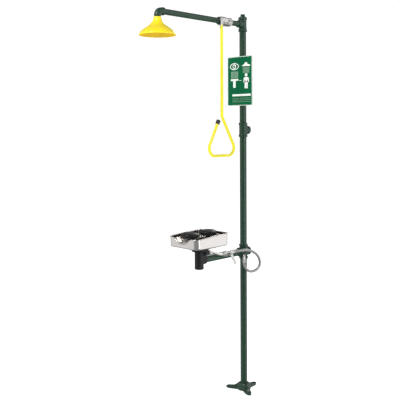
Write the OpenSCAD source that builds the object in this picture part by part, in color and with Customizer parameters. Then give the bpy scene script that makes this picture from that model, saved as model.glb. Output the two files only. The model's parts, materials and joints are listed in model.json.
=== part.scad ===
// Combination emergency station: deluge shower above, eye and face wash below, on one pipe post.
// Origin: centre of the floor flange, on the floor. +Z is up, the shower arm points to -Y.

/* [Post] */
// Outside diameter of the post pipe
post_od = 42.2; // [38:0.1:50]
// Wall of the post pipe
post_wall = 3.6; // [2.5:0.1:5]
// Height of the waste cross above the floor
cross_z = 852; // [700:1:1000]
// Height of the water supply tee above the floor
supply_z = 1604; // [1400:1:1700]
// Height of the shower arm above the floor
arm_z = 2256; // [2100:1:2500]

/* [Floor flange] */
// Bolt circle of the floor flange
bolt_pcd = 190; // [160:1:230]
// Diameter of each bolt hole
bolt_hole = 14; // [10:0.5:18]
// Thickness of the lobes
lobe_t = 12; // [8:1:16]
// Height of the flange hub
hub_h = 41; // [35:1:60]

/* [Fittings] */
// Distance from a fitting's centre to its port face
port_reach = 44.5; // [42:0.5:60]
// Wall of a cast fitting
cast_wall = 4; // [3:0.5:6]
// Width of the band round a port
band_w = 15; // [10:1:20]
// Depth of thread inside a port
thread_in = 17; // [12:1:20]

/* [Shower arm] */
// Outside diameter of the arm pipe
arm_od = 33.4; // [30:0.1:38]
// Wall of the arm pipe
arm_wall = 3.4; // [2.5:0.1:4.5]
// Distance from the post to the shower head
head_reach = 702; // [600:1:900]
// Diameter of the shower head
head_d = 205; // [180:1:260]
// Height of the shower head
head_h = 101; // [90:1:120]
// Wall of the shower head
head_wall = 3; // [2:0.5:4]

/* [Shower valve] */
// Distance from the post to the shower valve's stem
valve_y = 165; // [150:1:200]
// Length of the shower lever between its pins
lever_len = 75; // [60:1:90]
// Length of the link between its pins
link_len = 45; // [38:1:60]

/* [Pull rod] */
// Diameter of the pull rod
rod_d = 18; // [12:0.5:20]
// Height of the handle's bend above the floor
bend_z = 1684; // [1550:1:1750]
// Width of the triangular handle
handle_w = 246; // [200:1:280]
// Height of the triangular handle
handle_h = 240; // [200:1:260]

/* [Sign] */
// Width of the sign
sign_w = 203; // [150:1:260]
// Height of the sign
sign_h = 305; // [220:1:360]
// Thickness of the sign
sign_t = 2; // [1:0.5:4]
// Height of the sign's middle
sign_z = 1905; // [1850:1:1950]

/* [Eyewash] */
// Distance from the post to the eyewash bowl's middle
bowl_y = 388; // [360:1:450]
// Size of the bowl along the arm
bowl_l = 272; // [240:1:300]
// Size of the bowl across the arm
bowl_w = 234; // [200:1:260]
// Radius of the bowl's corners
bowl_r = 36; // [20:1:45]
// Height of the bowl's rim
rim_z = 1008; // [1000:1:1015]
// Height of the low front lip
lip_z = 963; // [955:1:985]
// Height where the bowl's walls meet its pan
pan_z = 942; // [935:1:950]
// Thickness of the bowl's sheet
bowl_t = 1.5; // [1:0.5:3]
// Distance between the two spray heads
spray_gap = 150; // [125:1:160]
// Diameter of a dust cover
cover_d = 106; // [90:1:112]
// Diameter of the receiver under the bowl
receiver_d = 53; // [50:0.5:60]

/* [Eyewash valve] */
// Distance from the post to the eyewash valve's stem
wash_y = 195; // [190:1:205]
// Sideways distance of the eyewash valve
wash_x = 45; // [42:1:52]
// Height of the eyewash valve
wash_z = 872.5; // [870:0.5:880]
// Length of the eyewash lever
wash_lever = 75; // [60:1:90]
// Diameter of the chrome supply tube
tube_d = 15.5; // [12:0.5:16]

/* [Hidden] */
fit = 0.05; // clearance of a threaded or running fit, on the radius
gap = 0.3; // clearance between pieces that pass each other
tube_slack = 0.25; // clearance of a nut round a bent tube
$fn = 64;

post_id = post_od - 2 * post_wall;
arm_id = arm_od - 2 * arm_wall;
end_in = port_reach - thread_in; // how far a pipe's end is from its fitting's centre

// Shower valve
valve_len = 91; // face to face
valve_r = 28;
valve_flats = 50; // across the valve's hexagons
ball_r = 20;
bore_r = 12.5;
cavity_r = 22.5;
seat_half = ball_r - 1; // half length of the ball chamber
stem_r = 6;
neck_x = 33; // where the valve's neck ends
lever_x = 40; // inner face of the shower lever
lever_t = 3;
link_t = 4;
link_x = lever_x + lever_t + gap; // inner face of the link
rod_x = link_x + link_t / 2; // axis of the pull rod
pin_r = 4;
pull_y = valve_y + lever_len; // distance of the pull rod from the post
rod_pin_z = arm_z - link_len;
rod_top_z = rod_pin_z + 11;

// Eyewash
bowl_base_z = 911.5; // underside of the bowl's flat middle
flange_z = 910; // top of the receiver
flange_t = 7;
receiver_z = 800; // bottom of the receiver
boss_y = bowl_y - 43; // face of the receiver's boss
inlet_x = 30; // sideways distance of the water inlet
inlet_z = 895;
riser_r = 12; // the water riser in the middle of the drain
manifold_z = 966; // axis of the spray manifold
head_z = 984; // bottom of a spray head
head_lip_z = 1003; // top of a spray head
cover_t = 2.5;
cover_top_z = 1020;
hinge_x = cover_d / 2 + 4; // the covers' hinge line is at x = -hinge_x
hinge_z = 1005;
hinge_r = 2;

// Hand-chosen points of the chrome supply tube, from the receiver to the valve
TUBE = [
    [inlet_x, -boss_y - 12, inlet_z], [inlet_x, -boss_y + 4, inlet_z], [inlet_x, -boss_y + 15, inlet_z],
    [inlet_x, -boss_y + 24, inlet_z], [inlet_x + 4, -boss_y + 46, inlet_z - 7],
    [wash_x - 4, -wash_y - 78, wash_z + 5], [wash_x, -wash_y - 56, wash_z],
    [wash_x, -wash_y - 46, wash_z], [wash_x, -wash_y - 34, wash_z], [wash_x, -wash_y - 18, wash_z]
];
// Hand-chosen points of the braided hose, from the valve to the elbow at the cross
HOSE = [
    [45, -155, 872.5], [45, -132, 872.5], [46.3, -109.3, 872.9], [48.5, -86.5, 873], [51.2, -63.8, 872.5],
    [54.4, -41.2, 870.6], [57.9, -18.9, 866.8], [61.8, 2.6, 860.1], [65.9, 22.7, 850], [69.8, 40.6, 836.4],
    [73, 55.3, 819.1], [75.1, 65, 798.6], [75.2, 67.5, 776], [71.8, 60.3, 754.8], [65.1, 44.8, 739.7],
    [56.7, 24.9, 732.7], [48.6, 3.7, 734.2], [42.8, -15.6, 744.8], [40.1, -30.6, 762], [39.5, -37.3, 776], [39.5, -39.3, 789], [39.5, -39.5, 799],
    [39.5, -39.5, 806]
];
hose_d = 16;
elbow_out = 36; // how far the hose elbow's corner is from the cross's hose port origin
elbow_at = [14 + elbow_out * sqrt(0.5), -14 - elbow_out * sqrt(0.5), cross_z - 14];
wash_inlet_r = 10.5; // thread of the eyewash valve's inlet

// ---- helpers ----

// A smooth path through the points p: Catmull-Rom, n steps between two points.
function on_curve(a, b, c, d, t) = 0.5 * (2 * b + (c - a) * t + (2 * a - 5 * b + 4 * c - d) * t * t
    + (3 * b - a - 3 * c + d) * t * t * t);
function smooth(p, n) = let (last = len(p) - 1) concat(
    [for (i = [0:last - 1], k = [0:n - 1])
        on_curve(p[max(i - 1, 0)], p[i], p[i + 1], p[min(i + 2, last)], k / n)],
    [p[last]]);
function unit(v) = v / norm(v);
function heading(p, i) = unit(p[min(i + 1, len(p) - 1)] - p[max(i - 1, 0)]);
// One direction across the path at each point, carried along it without twist.
function sides(p, i = 0, s = [1, 0, 0]) = let (d = heading(p, i), u = unit(s - (s * d) * d))
    i == len(p) - 1 ? [u] : concat([u], sides(p, i + 1, u));

// A round tube of diameter d along the points p, with n sides.
module swept(p, d, n = 12) {
    side = sides(p);
    points = [for (i = [0:len(p) - 1], k = [0:n - 1])
        let (u = side[i], v = cross(heading(p, i), u), a = 360 * k / n)
        p[i] + d / 2 * (cos(a) * u + sin(a) * v)];
    walls = [for (i = [0:len(p) - 2], k = [0:n - 1])
        [i * n + k, i * n + (k + 1) % n, (i + 1) * n + (k + 1) % n, (i + 1) * n + k]];
    first = [[for (k = [n - 1:-1:0]) k]];
    last = [[for (k = [0:n - 1]) (len(p) - 1) * n + k]];
    polyhedron(points, [for (f = concat(first, walls, last)) [for (k = [len(f) - 1:-1:0]) f[k]]]);
}

// Cylinders along Y and along X, from a to b.
module along_y(a, b, r) translate([0, b, 0]) rotate([90, 0, 0]) cylinder(r = r, h = b - a);
module along_x(a, b, r) translate([a, 0, 0]) rotate([0, 90, 0]) cylinder(r = r, h = b - a);

// A hexagonal prism along +Z, measured across its flats.
module hex(flats, h) linear_extrude(h) polygon([for (k = [0:5]) flats / sqrt(3) * [cos(60 * k), sin(60 * k)]]);

module rounded(w, l, r) {
    square([w - 2 * r, l], center = true);
    square([w, l - 2 * r], center = true);
    for (x = [-1, 1], y = [-1, 1]) translate([x * (w / 2 - r), y * (l / 2 - r)]) circle(r);
}

// A straight pipe along +Z from z0 to z1.
module pipe(z0, z1, od, id) translate([0, 0, z0]) difference() {
    cylinder(d = od, h = z1 - z0);
    translate([0, 0, -1]) cylinder(d = id, h = z1 - z0 + 2);
}

// A run of a cast fitting along +Z: banded at both ends, for a pipe of diameter od.
module run_outside(od, reach) {
    cylinder(r = od / 2 + cast_wall - 1, h = 2 * reach, center = true);
    for (s = [-1, 1]) translate([0, 0, s * (reach - band_w / 2)])
        cylinder(r = od / 2 + cast_wall + 2.4, h = band_w, center = true);
}
module run_bore(od, id, reach) {
    cylinder(d = id, h = 2 * reach, center = true);
    for (s = [-1, 1]) translate([0, 0, s * (reach - thread_in / 2 + 0.5)])
        cylinder(r = od / 2 + fit, h = thread_in + 1, center = true);
}

// A side port along +Y.
module port_outside(od, reach) {
    along_y(0, reach, od / 2 + cast_wall - 1);
    along_y(reach - band_w, reach, od / 2 + cast_wall + 2.4);
}
module port_bore(od, id, reach) {
    along_y(0, reach, id / 2);
    along_y(reach - thread_in, reach + 1, od / 2 + fit);
}

// ---- post ----

module floor_flange() color("#274b38") difference() {
    union() {
        linear_extrude(lobe_t) {
            circle(44);
            for (a = [90, 210, 330]) rotate(a) lobe();
        }
        for (a = [90, 210, 330]) rotate(a) translate([0, 6, 0]) rotate([90, 0, 0]) linear_extrude(12)
            polygon([[24, 2], [bolt_pcd / 2 - 20, 2], [bolt_pcd / 2 - 20, lobe_t + 1], [24, hub_h - 5]]);
        translate([0, 0, lobe_t]) cylinder(r1 = 40, r2 = post_od / 2 + 8, h = hub_h - lobe_t - 10);
        translate([0, 0, hub_h - 10]) cylinder(r = post_od / 2 + 8, h = 10);
    }
    translate([0, 0, 6]) cylinder(r = post_od / 2 + fit, h = hub_h);
    translate([0, 0, -1]) cylinder(d = post_id, h = 8);
    for (a = [90, 210, 330]) rotate(a) translate([bolt_pcd / 2, 0, -1]) cylinder(d = bolt_hole, h = lobe_t + 2);
}
// One lobe's outline: it narrows from the hub to the bolt.
module lobe(r1 = 40, r2 = 17) {
    translate([bolt_pcd / 2, 0]) circle(r2);
    polygon([[0, -r1], [bolt_pcd / 2, -r2], [bolt_pcd / 2, r2], [0, r1]]);
}

module lower_post() color("#274b38") pipe(6, cross_z - end_in, post_od, post_id);
module middle_post() color("#274b38") pipe(cross_z + end_in, supply_z - end_in, post_od, post_id);
module upper_post() color("#274b38") pipe(supply_z + end_in, arm_z - end_in, post_od, post_id);

// The cross keeps the two waters apart: waste runs front to back through an inner tube,
// and supply water passes round that tube to the hose port below it.
module waste_cross() color("#274b38") translate([0, 0, cross_z]) difference() {
    union() {
        difference() {
            union() {
                run_outside(post_od, port_reach);
                sphere(r = post_od / 2 + cast_wall + 3);
                port_outside(post_od, port_reach);
                mirror([0, 1, 0]) port_outside(post_od, port_reach);
                hose_port() cylinder(r = 11, h = 24);
            }
            translate([0, 0, -end_in]) cylinder(d = post_id, h = 3 * port_reach);
        }
        translate([0, 0, -end_in]) cylinder(r = post_od / 2, h = 5);
        along_y(-port_reach + 4, port_reach - 4, 16);
    }
    for (s = [-1, 1]) translate([0, 0, s * (port_reach - thread_in / 2 + 0.5)])
        cylinder(r = post_od / 2 + fit, h = thread_in + 1, center = true);
    for (s = [0, 1]) mirror([0, s, 0]) port_bore(post_od, 25, port_reach);
    hose_port() translate([0, 0, -8]) cylinder(r = 5, h = 40);
    hose_port() translate([0, 0, 12]) cylinder(r = 7.5 + fit, h = 13);
}
// The hose port looks forward, down and to the side, from the lower half of the cross.
module hose_port() translate([14, -14, -14]) rotate([90, 0, 45]) children();

module supply_tee() color("#274b38") translate([0, 0, supply_z]) difference() {
    union() {
        run_outside(post_od, port_reach);
        port_outside(post_od, port_reach);
    }
    run_bore(post_od, post_id, port_reach);
    port_bore(post_od, post_id, port_reach);
}

module top_tee() color("#274b38") translate([0, 0, arm_z]) difference() {
    union() {
        run_outside(post_od, port_reach);
        mirror([0, 1, 0]) port_outside(arm_od, port_reach);
    }
    run_bore(post_od, post_id, port_reach);
    mirror([0, 1, 0]) port_bore(arm_od, arm_id, port_reach);
}

module top_plug() color("#274b38") translate([0, 0, arm_z + port_reach]) {
    translate([0, 0, -thread_in + 1]) cylinder(r = post_od / 2, h = thread_in - 1);
    cylinder(r = post_od / 2 + 1, h = 3);
    translate([0, 0, 3]) rotate(45) linear_extrude(15) rounded(27, 27, 3);
}

// ---- ball valves: both point along -Y with the stem along +X ----

// The body: hexagonal inlet end, round chamber, neck for the stem.
module valve_body(len, r, flats, ball, cav, half, bore, pipe_r, stem, neck, hex_w) difference() {
    union() {
        translate([0, len / 2, 0]) rotate([90, 0, 0]) hex(flats, hex_w);
        along_y(-half - 8, len / 2 - hex_w + 1, r);
        along_x(0, neck, stem * 2 + 1.5);
    }
    along_y(-half, half, cav);
    along_y(-half - 9, -half + 1, cav + 2.5);
    along_y(0, len / 2 + 1, bore);
    along_y(len / 2 - thread_in, len / 2 + 1, pipe_r + fit);
    along_x(0, ball + stem / 2 + 0.1, stem * 1.5 + 0.1);
    along_x(0, neck + 1, stem + fit);
    along_x(neck - stem, neck + 1, stem * 1.5 + fit);
}

// The tailpiece screws into the body and holds the ball and its seats.
module valve_tailpiece(len, flats, cav, half, bore, pipe_r) difference() {
    union() {
        translate([0, -half - 8 - 0.1, 0]) rotate([90, 0, 0]) hex(flats, len / 2 - half - 8 - 0.1);
        along_y(-half - 8.2, -half, cav + 2.5 - fit);
    }
    along_y(-len, len, bore);
    along_y(-len / 2 - 1, -len / 2 + thread_in, pipe_r + fit);
}

// Two ring seats that the ball turns in.
module valve_seats(ball, cav, half, bore) difference() {
    for (s = [0, 1]) mirror([0, s, 0]) along_y(half - ball * 0.35, half, cav - fit);
    sphere(r = ball + fit);
    along_y(-2 * half, 2 * half, bore);
}

// The closed ball: its bore stands across the flow, and a slot takes the stem.
module valve_ball(ball, bore, stem) difference() {
    sphere(r = ball);
    cylinder(r = bore, h = 3 * ball, center = true);
    translate([ball - stem * 0.9, -stem * 0.6, -ball]) cube([ball, stem * 1.2, 2 * ball]);
}

// The stem: tongue in the ball, foot under the neck, round shaft, flats for the lever, thread.
module valve_stem(ball, stem, lever, tip) {
    translate([ball - stem * 0.85, -stem * 0.58, -stem * 1.2])
        cube([stem * 0.85 + 1, stem * 1.16, stem * 2.4]);
    along_x(ball + 0.2, ball + stem / 2, stem * 1.5);
    along_x(ball + 1, lever - 0.5, stem);
    intersection() {
        along_x(lever - 1, lever + 3, stem);
        translate([lever, 0, 0]) cube([9, stem * 1.4, stem * 3], center = true);
    }
    along_x(lever, tip, stem * 0.6);
}

module packing_ring(stem, neck) difference() {
    along_x(neck - stem, neck - stem / 2, stem * 1.5);
    along_x(0, 2 * neck, stem + fit);
}

module gland_nut(stem, neck, flats, h) difference() {
    union() {
        translate([neck, 0, 0]) rotate([0, 90, 0]) hex(flats, h);
        along_x(neck - stem / 2 + 0.1, neck + 1, stem * 1.5);
    }
    along_x(0, 3 * neck, stem + fit);
}

module lever_nut(x, flats, h, stem) difference() {
    translate([x, 0, 0]) rotate([0, 90, 0]) hex(flats, h);
    along_x(0, 4 * x, stem * 0.6 + fit);
}

// A flat plate in the YZ plane between two round ends, from the origin towards +Y.
module strap(len, r1, r2, t) rotate([90, 0, 90]) linear_extrude(t) {
    circle(r1);
    translate([len, 0]) circle(r2);
    polygon([[0, -r1], [len, -r2], [len, r2], [0, r1]]);
}

// The hole in a lever for the stem's flats.
module stem_hole(stem) rotate([90, 0, 90]) translate([0, 0, -5]) linear_extrude(20) intersection() {
    circle(r = stem + fit);
    square([stem * 1.4 + 2 * fit, stem * 3], center = true);
}

// ---- shower valve, lever and pull rod ----

module at_shower_valve() translate([0, -valve_y, arm_z]) children();

module valve_nipple() color("#274b38") translate([0, 0, arm_z]) difference() {
    along_y(-valve_y + valve_len / 2 - thread_in, -end_in, arm_od / 2);
    along_y(-valve_y, 0, arm_id / 2);
}
module shower_valve_body() color("silver") at_shower_valve()
    valve_body(valve_len, valve_r, valve_flats, ball_r, cavity_r, seat_half, bore_r, arm_od / 2, stem_r, neck_x, 20);
module shower_valve_tailpiece() color("silver") at_shower_valve()
    valve_tailpiece(valve_len, valve_flats, cavity_r, seat_half, bore_r, arm_od / 2);
module shower_valve_seats() color("white") at_shower_valve()
    valve_seats(ball_r, cavity_r, seat_half, bore_r);
module shower_ball() color("lightgray") at_shower_valve() valve_ball(ball_r, bore_r, stem_r);
module shower_stem() color("gray") at_shower_valve()
    valve_stem(ball_r, stem_r, lever_x, lever_x + lever_t + 8);
module shower_packing() color("white") at_shower_valve() packing_ring(stem_r, neck_x);
module shower_gland_nut() color("gray") at_shower_valve() gland_nut(stem_r, neck_x, 21, 5);
module shower_lever() color("silver") at_shower_valve() translate([lever_x, 0, 0]) difference() {
    rotate([180, 0, 0]) strap(lever_len, 12, 10, lever_t);
    stem_hole(stem_r);
    translate([0, -lever_len, 0]) along_x(-1, lever_t + 1, pin_r + fit);
}
module shower_lever_nut() color("gray") at_shower_valve() lever_nut(lever_x + lever_t + 0.05, 13, 6, stem_r);

module at_link() translate([0, -pull_y, arm_z]) children();
module rod_link() color("silver") at_link() translate([link_x, 0, 0]) difference() {
    rotate([-90, 0, 0]) strap(link_len, 8, 7, link_t);
    along_x(-1, link_t + 1, pin_r + fit);
    translate([0, 0, -link_len]) along_x(-1, link_t + 1, pin_r + fit);
}
module link_pin() color("gray") at_link() {
    along_x(lever_x - 2.3, lever_x - gap, 6.5);
    along_x(lever_x - gap - 0.1, link_x + link_t + 4, pin_r);
    along_x(link_x + link_t + gap, link_x + link_t + 2.3, 6);
}
module rod_pin() color("gray") translate([rod_x, -pull_y, rod_pin_z])
    along_x(-rod_d / 2 - 1.5, rod_d / 2 + 1.5, pin_r);

// The rod and its handle are one bent bar. The outline lies in the YZ plane, y measured from the rod.
corner_r = 45;
module pull_rod() color("#ece63c") translate([rod_x, -pull_y, 0]) difference() {
    union() {
        swept(handle_path(), rod_d, 12);
        translate([0, 0, bend_z + 19]) cylinder(d = rod_d + fit, h = rod_top_z - bend_z - 19);
    }
    translate([0, 0, rod_pin_z]) {
        translate([-link_t / 2 - gap, -rod_d, -10]) cube([link_t + 2 * gap, 2 * rod_d, 40]);
        along_x(-rod_d, rod_d, pin_r + fit);
    }
}
bottom_z = bend_z - handle_h + rod_d / 2;
// A round bend at corner c, of radius r, between the directions to a and to b.
function round_bend(a, c, b, r, n = 6) = let (u = unit(a - c), v = unit(b - c),
    half = acos(u * v) / 2, reach = r / tan(half), mid = c + unit(u + v) * r / sin(half))
    [for (k = [0:n]) let (p = c + u * reach, q = c + v * reach, w = (1 - k / n) * (p - mid) + k / n * (q - mid))
        mid + r * unit(w)];
function handle_path() = let (
    top = [0, 0, bend_z - 4], right = [0, handle_w / 2 + 14, bottom_z], left = [0, -handle_w / 2 - 14, bottom_z],
    tip = [0, -30, bend_z - 27]
) concat([[0, 0, bend_z + 20]], round_bend([0, 0, bend_z + 40], top, right, 30),
    round_bend(top, right, left, corner_r), round_bend(right, left, tip, corner_r), [tip]);
tip_dir = unit([0, -30, bend_z - 27] - [0, -handle_w / 2 - 14, bottom_z]);
module rod_end_cap() color("#222222") translate([rod_x, -pull_y, 0])
    translate([0, -30, bend_z - 27]) rotate([-atan2(tip_dir.y, tip_dir.z), 0, 0]) difference() {
        translate([0, 0, -22]) cylinder(d = rod_d + 8, h = 27);
        translate([0, 0, -23]) cylinder(r = rod_d / 2 + fit, h = 23 + fit);
    }

// ---- arm and shower head ----

elbow_y = head_reach - port_reach; // the elbow's female face
module arm_lock_nut() color("#20302a") translate([0, 0, arm_z]) difference() {
    along_y(-valve_y - valve_len / 2 - 12, -valve_y - valve_len / 2, 23);
    along_y(-head_reach, 0, arm_od / 2 + fit);
}
module arm_pipe() color("#274b38") translate([0, 0, arm_z]) difference() {
    along_y(-elbow_y - thread_in, -valve_y - valve_len / 2 + thread_in, arm_od / 2);
    along_y(-head_reach, 0, arm_id / 2);
}
bend_r = 25;
neck_depth = 20; // of the socket in the head's neck
elbow_in = 17; // how far the elbow's thread goes in
neck_bottom = arm_z - 34 - elbow_in; // where the elbow's thread ends inside the head
module arm_elbow() color("#274b38") translate([0, -head_reach, arm_z]) difference() {
    union() {
        along_y(bend_r - 0.01, port_reach, arm_od / 2 + cast_wall - 1);
        along_y(port_reach - band_w, port_reach, arm_od / 2 + cast_wall + 1.6);
        elbow_turn(arm_od / 2 + cast_wall - 1.5);
        translate([0, 0, neck_bottom - arm_z]) cylinder(d = arm_od, h = arm_z - neck_bottom - bend_r);
    }
    along_y(bend_r - 0.01, port_reach + 1, arm_id / 2 - 1);
    along_y(port_reach - thread_in, port_reach + 1, arm_od / 2 + fit);
    elbow_turn(arm_id / 2 - 1);
    translate([0, 0, neck_bottom - arm_z - 1]) cylinder(r = arm_id / 2 - 1, h = 40);
}
module elbow_turn(r) translate([0, bend_r, -bend_r]) rotate([90, 0, -90])
    rotate_extrude(angle = 90) translate([bend_r, 0]) circle(r);

head_top = arm_z - 34; // top of the head's neck
module at_head() translate([0, -head_reach, head_top]) children();
// The bell's outline, as radius and depth below the neck's top, inset by t.
function bell(t) = let (k = (head_d / 2 - t) / 102.5) [
    [21 - t / 2, 0], [22 - t / 2, -10], [25 - t / 2, -20], [30.5 - t / 2, -29 - t / 2], [40, -40 - t], [51, -49.5 - t],
    [65 * k, -59 - t], [80 * k, -69.5 - t], [91 * k, -79 - t], [98 * k, -88 - t / 2], [102.5 * k, -head_h + 6],
    [102.5 * k, -head_h]
];
module shower_head_shell() color("#f4e22c") at_head() difference() {
    rotate_extrude($fn = 96) polygon(concat([[0, 0]], bell(0), [[0, -head_h]]));
    rotate_extrude($fn = 96) polygon(concat([[0, -30]], [for (p = bell(head_wall)) if (p.y < -28) p],
        [[head_d / 2 - head_wall, -head_h - 1], [0, -head_h - 1]]));
    translate([0, 0, -neck_depth]) cylinder(r = arm_od / 2 + fit, h = neck_depth + 1);
    translate([0, 0, -40]) cylinder(r = 10, h = 40);
}
plate_t = 4;
module spray_plate() color("#cdb52a") at_head() translate([0, 0, -head_h + 1]) difference() {
    union() {
        cylinder(r = head_d / 2 - head_wall - fit, h = plate_t);
        for (a = [0:120:240]) rotate(a) translate([40, 0, 0]) cylinder(r = 6, h = 24);
    }
    for (ring = [1:6]) for (k = [0:6 * ring - 1]) rotate(360 * k / (6 * ring) + 15 * ring)
        translate([ring * 14 + 1, 0, -1]) if (ring != 3) cylinder(r = 1.6, h = plate_t + 2, $fn = 16);
    for (a = [0:120:240]) rotate(a) translate([40, 0, -1]) cylinder(r = 2 + fit, h = 40);
}
module spray_plate_screws() color("silver") at_head() for (a = [0:120:240]) rotate(a)
    translate([40, 0, -head_h + 1]) {
        translate([0, 0, -2]) cylinder(r = 4, h = 2);
        cylinder(r = 2, h = 20);
    }
module flow_washer() color("#303030") at_head() translate([0, 0, -neck_depth]) difference() {
    cylinder(r = arm_od / 2 - 0.2, h = neck_depth - elbow_in - fit);
    translate([0, 0, -1]) cylinder(r = 7, h = 5);
}

// ---- sign ----

sign_y = post_od / 2 + 7; // back face of the sign
band_dz = 110; // the two bands are this far above and below the middle
module sign_plate() color("#1e6e4b") translate([0, -sign_y, sign_z]) rotate([90, 0, 0]) difference() {
    linear_extrude(sign_t) rounded(sign_w, sign_h, 6);
    for (s = [-1, 1]) translate([0, s * band_dz, -1]) cylinder(r = 2.5, h = sign_t + 2);
}
module sign_brackets() color("silver") for (s = [-1, 1]) translate([0, 0, sign_z + s * band_dz]) difference() {
    translate([-15, -sign_y, -12]) cube([30, sign_y - 8, 24]);
    translate([0, 0, -13]) cylinder(r = post_od / 2 + fit, h = 26);
    difference() {
        translate([0, 0, -7.5]) cylinder(r = post_od / 2 + 2.5, h = 15);
        translate([0, 0, -8]) cylinder(r = post_od / 2, h = 16);
    }
    along_y(-sign_y - 1, 0, 2);
}
module sign_bands() color("silver") for (s = [-1, 1]) translate([0, 0, sign_z + s * band_dz - 7]) difference() {
    cylinder(r = post_od / 2 + 1.2, h = 14);
    translate([0, 0, -1]) cylinder(r = post_od / 2 + 0.1, h = 16);
}
module sign_screws() color("silver") for (s = [-1, 1]) translate([0, 0, sign_z + s * band_dz]) {
    along_y(-sign_y - sign_t - 1.8, -sign_y - sign_t, 4.5);
    along_y(-sign_y - sign_t - 0.1, -post_od / 2 - 2.5, 1.95);
}

// ---- waste arm and receiver ----

module waste_arm() color("#274b38") translate([0, 0, cross_z]) difference() {
    along_y(-boss_y - thread_in, -end_in, post_od / 2);
    along_y(-bowl_y, 0, post_id / 2);
}

module receiver_body() color("#26262a") difference() {
    union() {
        translate([0, -bowl_y, receiver_z + 12]) cylinder(d = receiver_d, h = flange_z - receiver_z - 12);
        translate([0, -bowl_y, flange_z - flange_t]) cylinder(r = 44, h = flange_t);
        translate([0, 0, cross_z + 1]) along_y(-bowl_y, -boss_y, 27);
        translate([0, 0, inlet_z - 3]) along_y(-bowl_y + 10, -boss_y - 2, 12);
        translate([inlet_x, 0, inlet_z]) along_y(-boss_y - 24, -boss_y, 14);
        translate([-14, -bowl_y + 8, cross_z]) cube([inlet_x + 14, bowl_y - boss_y - 10, 45]);
    }
    translate([0, -bowl_y, receiver_z - 1]) difference() {
        cylinder(d = receiver_d - 8, h = 130);
        translate([0, 0, inlet_z - receiver_z - 12]) cylinder(r = riser_r + 3, h = 60);
        translate([0, 0, inlet_z - receiver_z + 1]) inlet_way(9);
    }
    translate([0, 0, cross_z]) {
        along_y(-bowl_y, -boss_y, 15);
        along_y(-boss_y - thread_in, -boss_y + 1, post_od / 2 + fit);
    }
    translate([0, -bowl_y, inlet_z]) {
        inlet_way(5);
        cylinder(r = riser_r + fit, h = 20);
        cylinder(r = 6, h = 20, center = true);
    }
    translate([inlet_x, 0, inlet_z]) along_y(-boss_y - 14, -boss_y + 1, tube_d / 2 + fit);
}
// A tube from the riser to the water inlet, at the inlet's height.
inlet_run = norm([inlet_x, bowl_y - boss_y - 18]);
module inlet_way(r) rotate([0, 90, atan2(bowl_y - boss_y - 18, inlet_x)]) cylinder(r = r, h = inlet_run);

module cleanout_cap() color("#26262a") translate([0, -bowl_y, receiver_z]) {
    cylinder(d = receiver_d + 1, h = 12);
    translate([0, 0, 11]) cylinder(r = receiver_d / 2 - 4 - fit, h = 13);
}
module bowl_gasket() color("#101010") translate([0, -bowl_y, flange_z]) difference() {
    cylinder(r = 42, h = bowl_base_z - flange_z);
    translate([0, 0, -1]) cylinder(r = receiver_d / 2 - 4, h = 5);
}

// The bowl: upright walls on a pan that falls to the drain, with a wide dip in the front wall.
module bowl() color("gainsboro") translate([0, -bowl_y, 0]) difference() {
    union() {
        translate([0, 0, pan_z]) linear_extrude(rim_z - pan_z) rounded(bowl_w, bowl_l, bowl_r);
        pan(0);
    }
    translate([0, 0, pan_z]) linear_extrude(rim_z) rounded(bowl_w - 2 * bowl_t, bowl_l - 2 * bowl_t, bowl_r - bowl_t);
    pan(bowl_t);
    translate([0, 0, bowl_base_z - 1]) cylinder(r = receiver_d / 2 - 4, h = 20);
    scoop();
}
module pan(t) hull() {
    translate([0, 0, pan_z]) linear_extrude(0.02 + t / 10) rounded(bowl_w - 2 * t, bowl_l - 2 * t, bowl_r - t, $fn = 32);
    translate([0, 0, bowl_base_z + t]) cylinder(r = 44, h = 0.5, $fn = 32);
}
// What the rim leaves out: its sides fall slowly towards the front, where the wall has a wide dip
// with an S-curve up to each corner.
side_fall = 12;
dip_flat = 22;
dip_rise = bowl_w / 2 - bowl_r - 2 - dip_flat / 2;
module scoop() {
    corner_z = rim_z - side_fall;
    rise = [for (k = [0:10]) [dip_flat / 2 + dip_rise * k / 10, lip_z + (corner_z + 1 - lip_z) * (1 - cos(18 * k)) / 2]];
    translate([-bowl_w, 0, 0]) rotate([90, 0, 90]) linear_extrude(2 * bowl_w)
        polygon([[-bowl_l, corner_z], [-bowl_l / 2, corner_z], [bowl_l / 2 - bowl_r, rim_z], [bowl_l / 2 - bowl_r, rim_z + 5],
            [-bowl_l, rim_z + 5]]);
    for (s = [0, 1]) mirror([s, 0, 0]) translate([0, bowl_r - bowl_l / 2, 0]) rotate([90, 0, 0]) linear_extrude(2 * bowl_r)
        polygon(concat([[-0.1, rim_z + 5], [-0.1, lip_z]], rise, [[dip_flat / 2 + dip_rise, rim_z + 5]]));
}
strainer_z = bowl_base_z + bowl_t;
module drain_strainer() color("silver") translate([0, -bowl_y, strainer_z]) difference() {
    cylinder(r = 40, h = 2);
    translate([0, 0, -1]) cylinder(r = riser_r + gap, h = 4);
    for (k = [0:11]) rotate(30 * k) translate([19, 0, -1]) cylinder(r = 2.5, h = 4, $fn = 24);
    for (k = [0:17]) rotate(20 * k) translate([29, 0, -1]) cylinder(r = 2.5, h = 4, $fn = 24);
}

// ---- spray heads and dust covers ----

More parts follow.
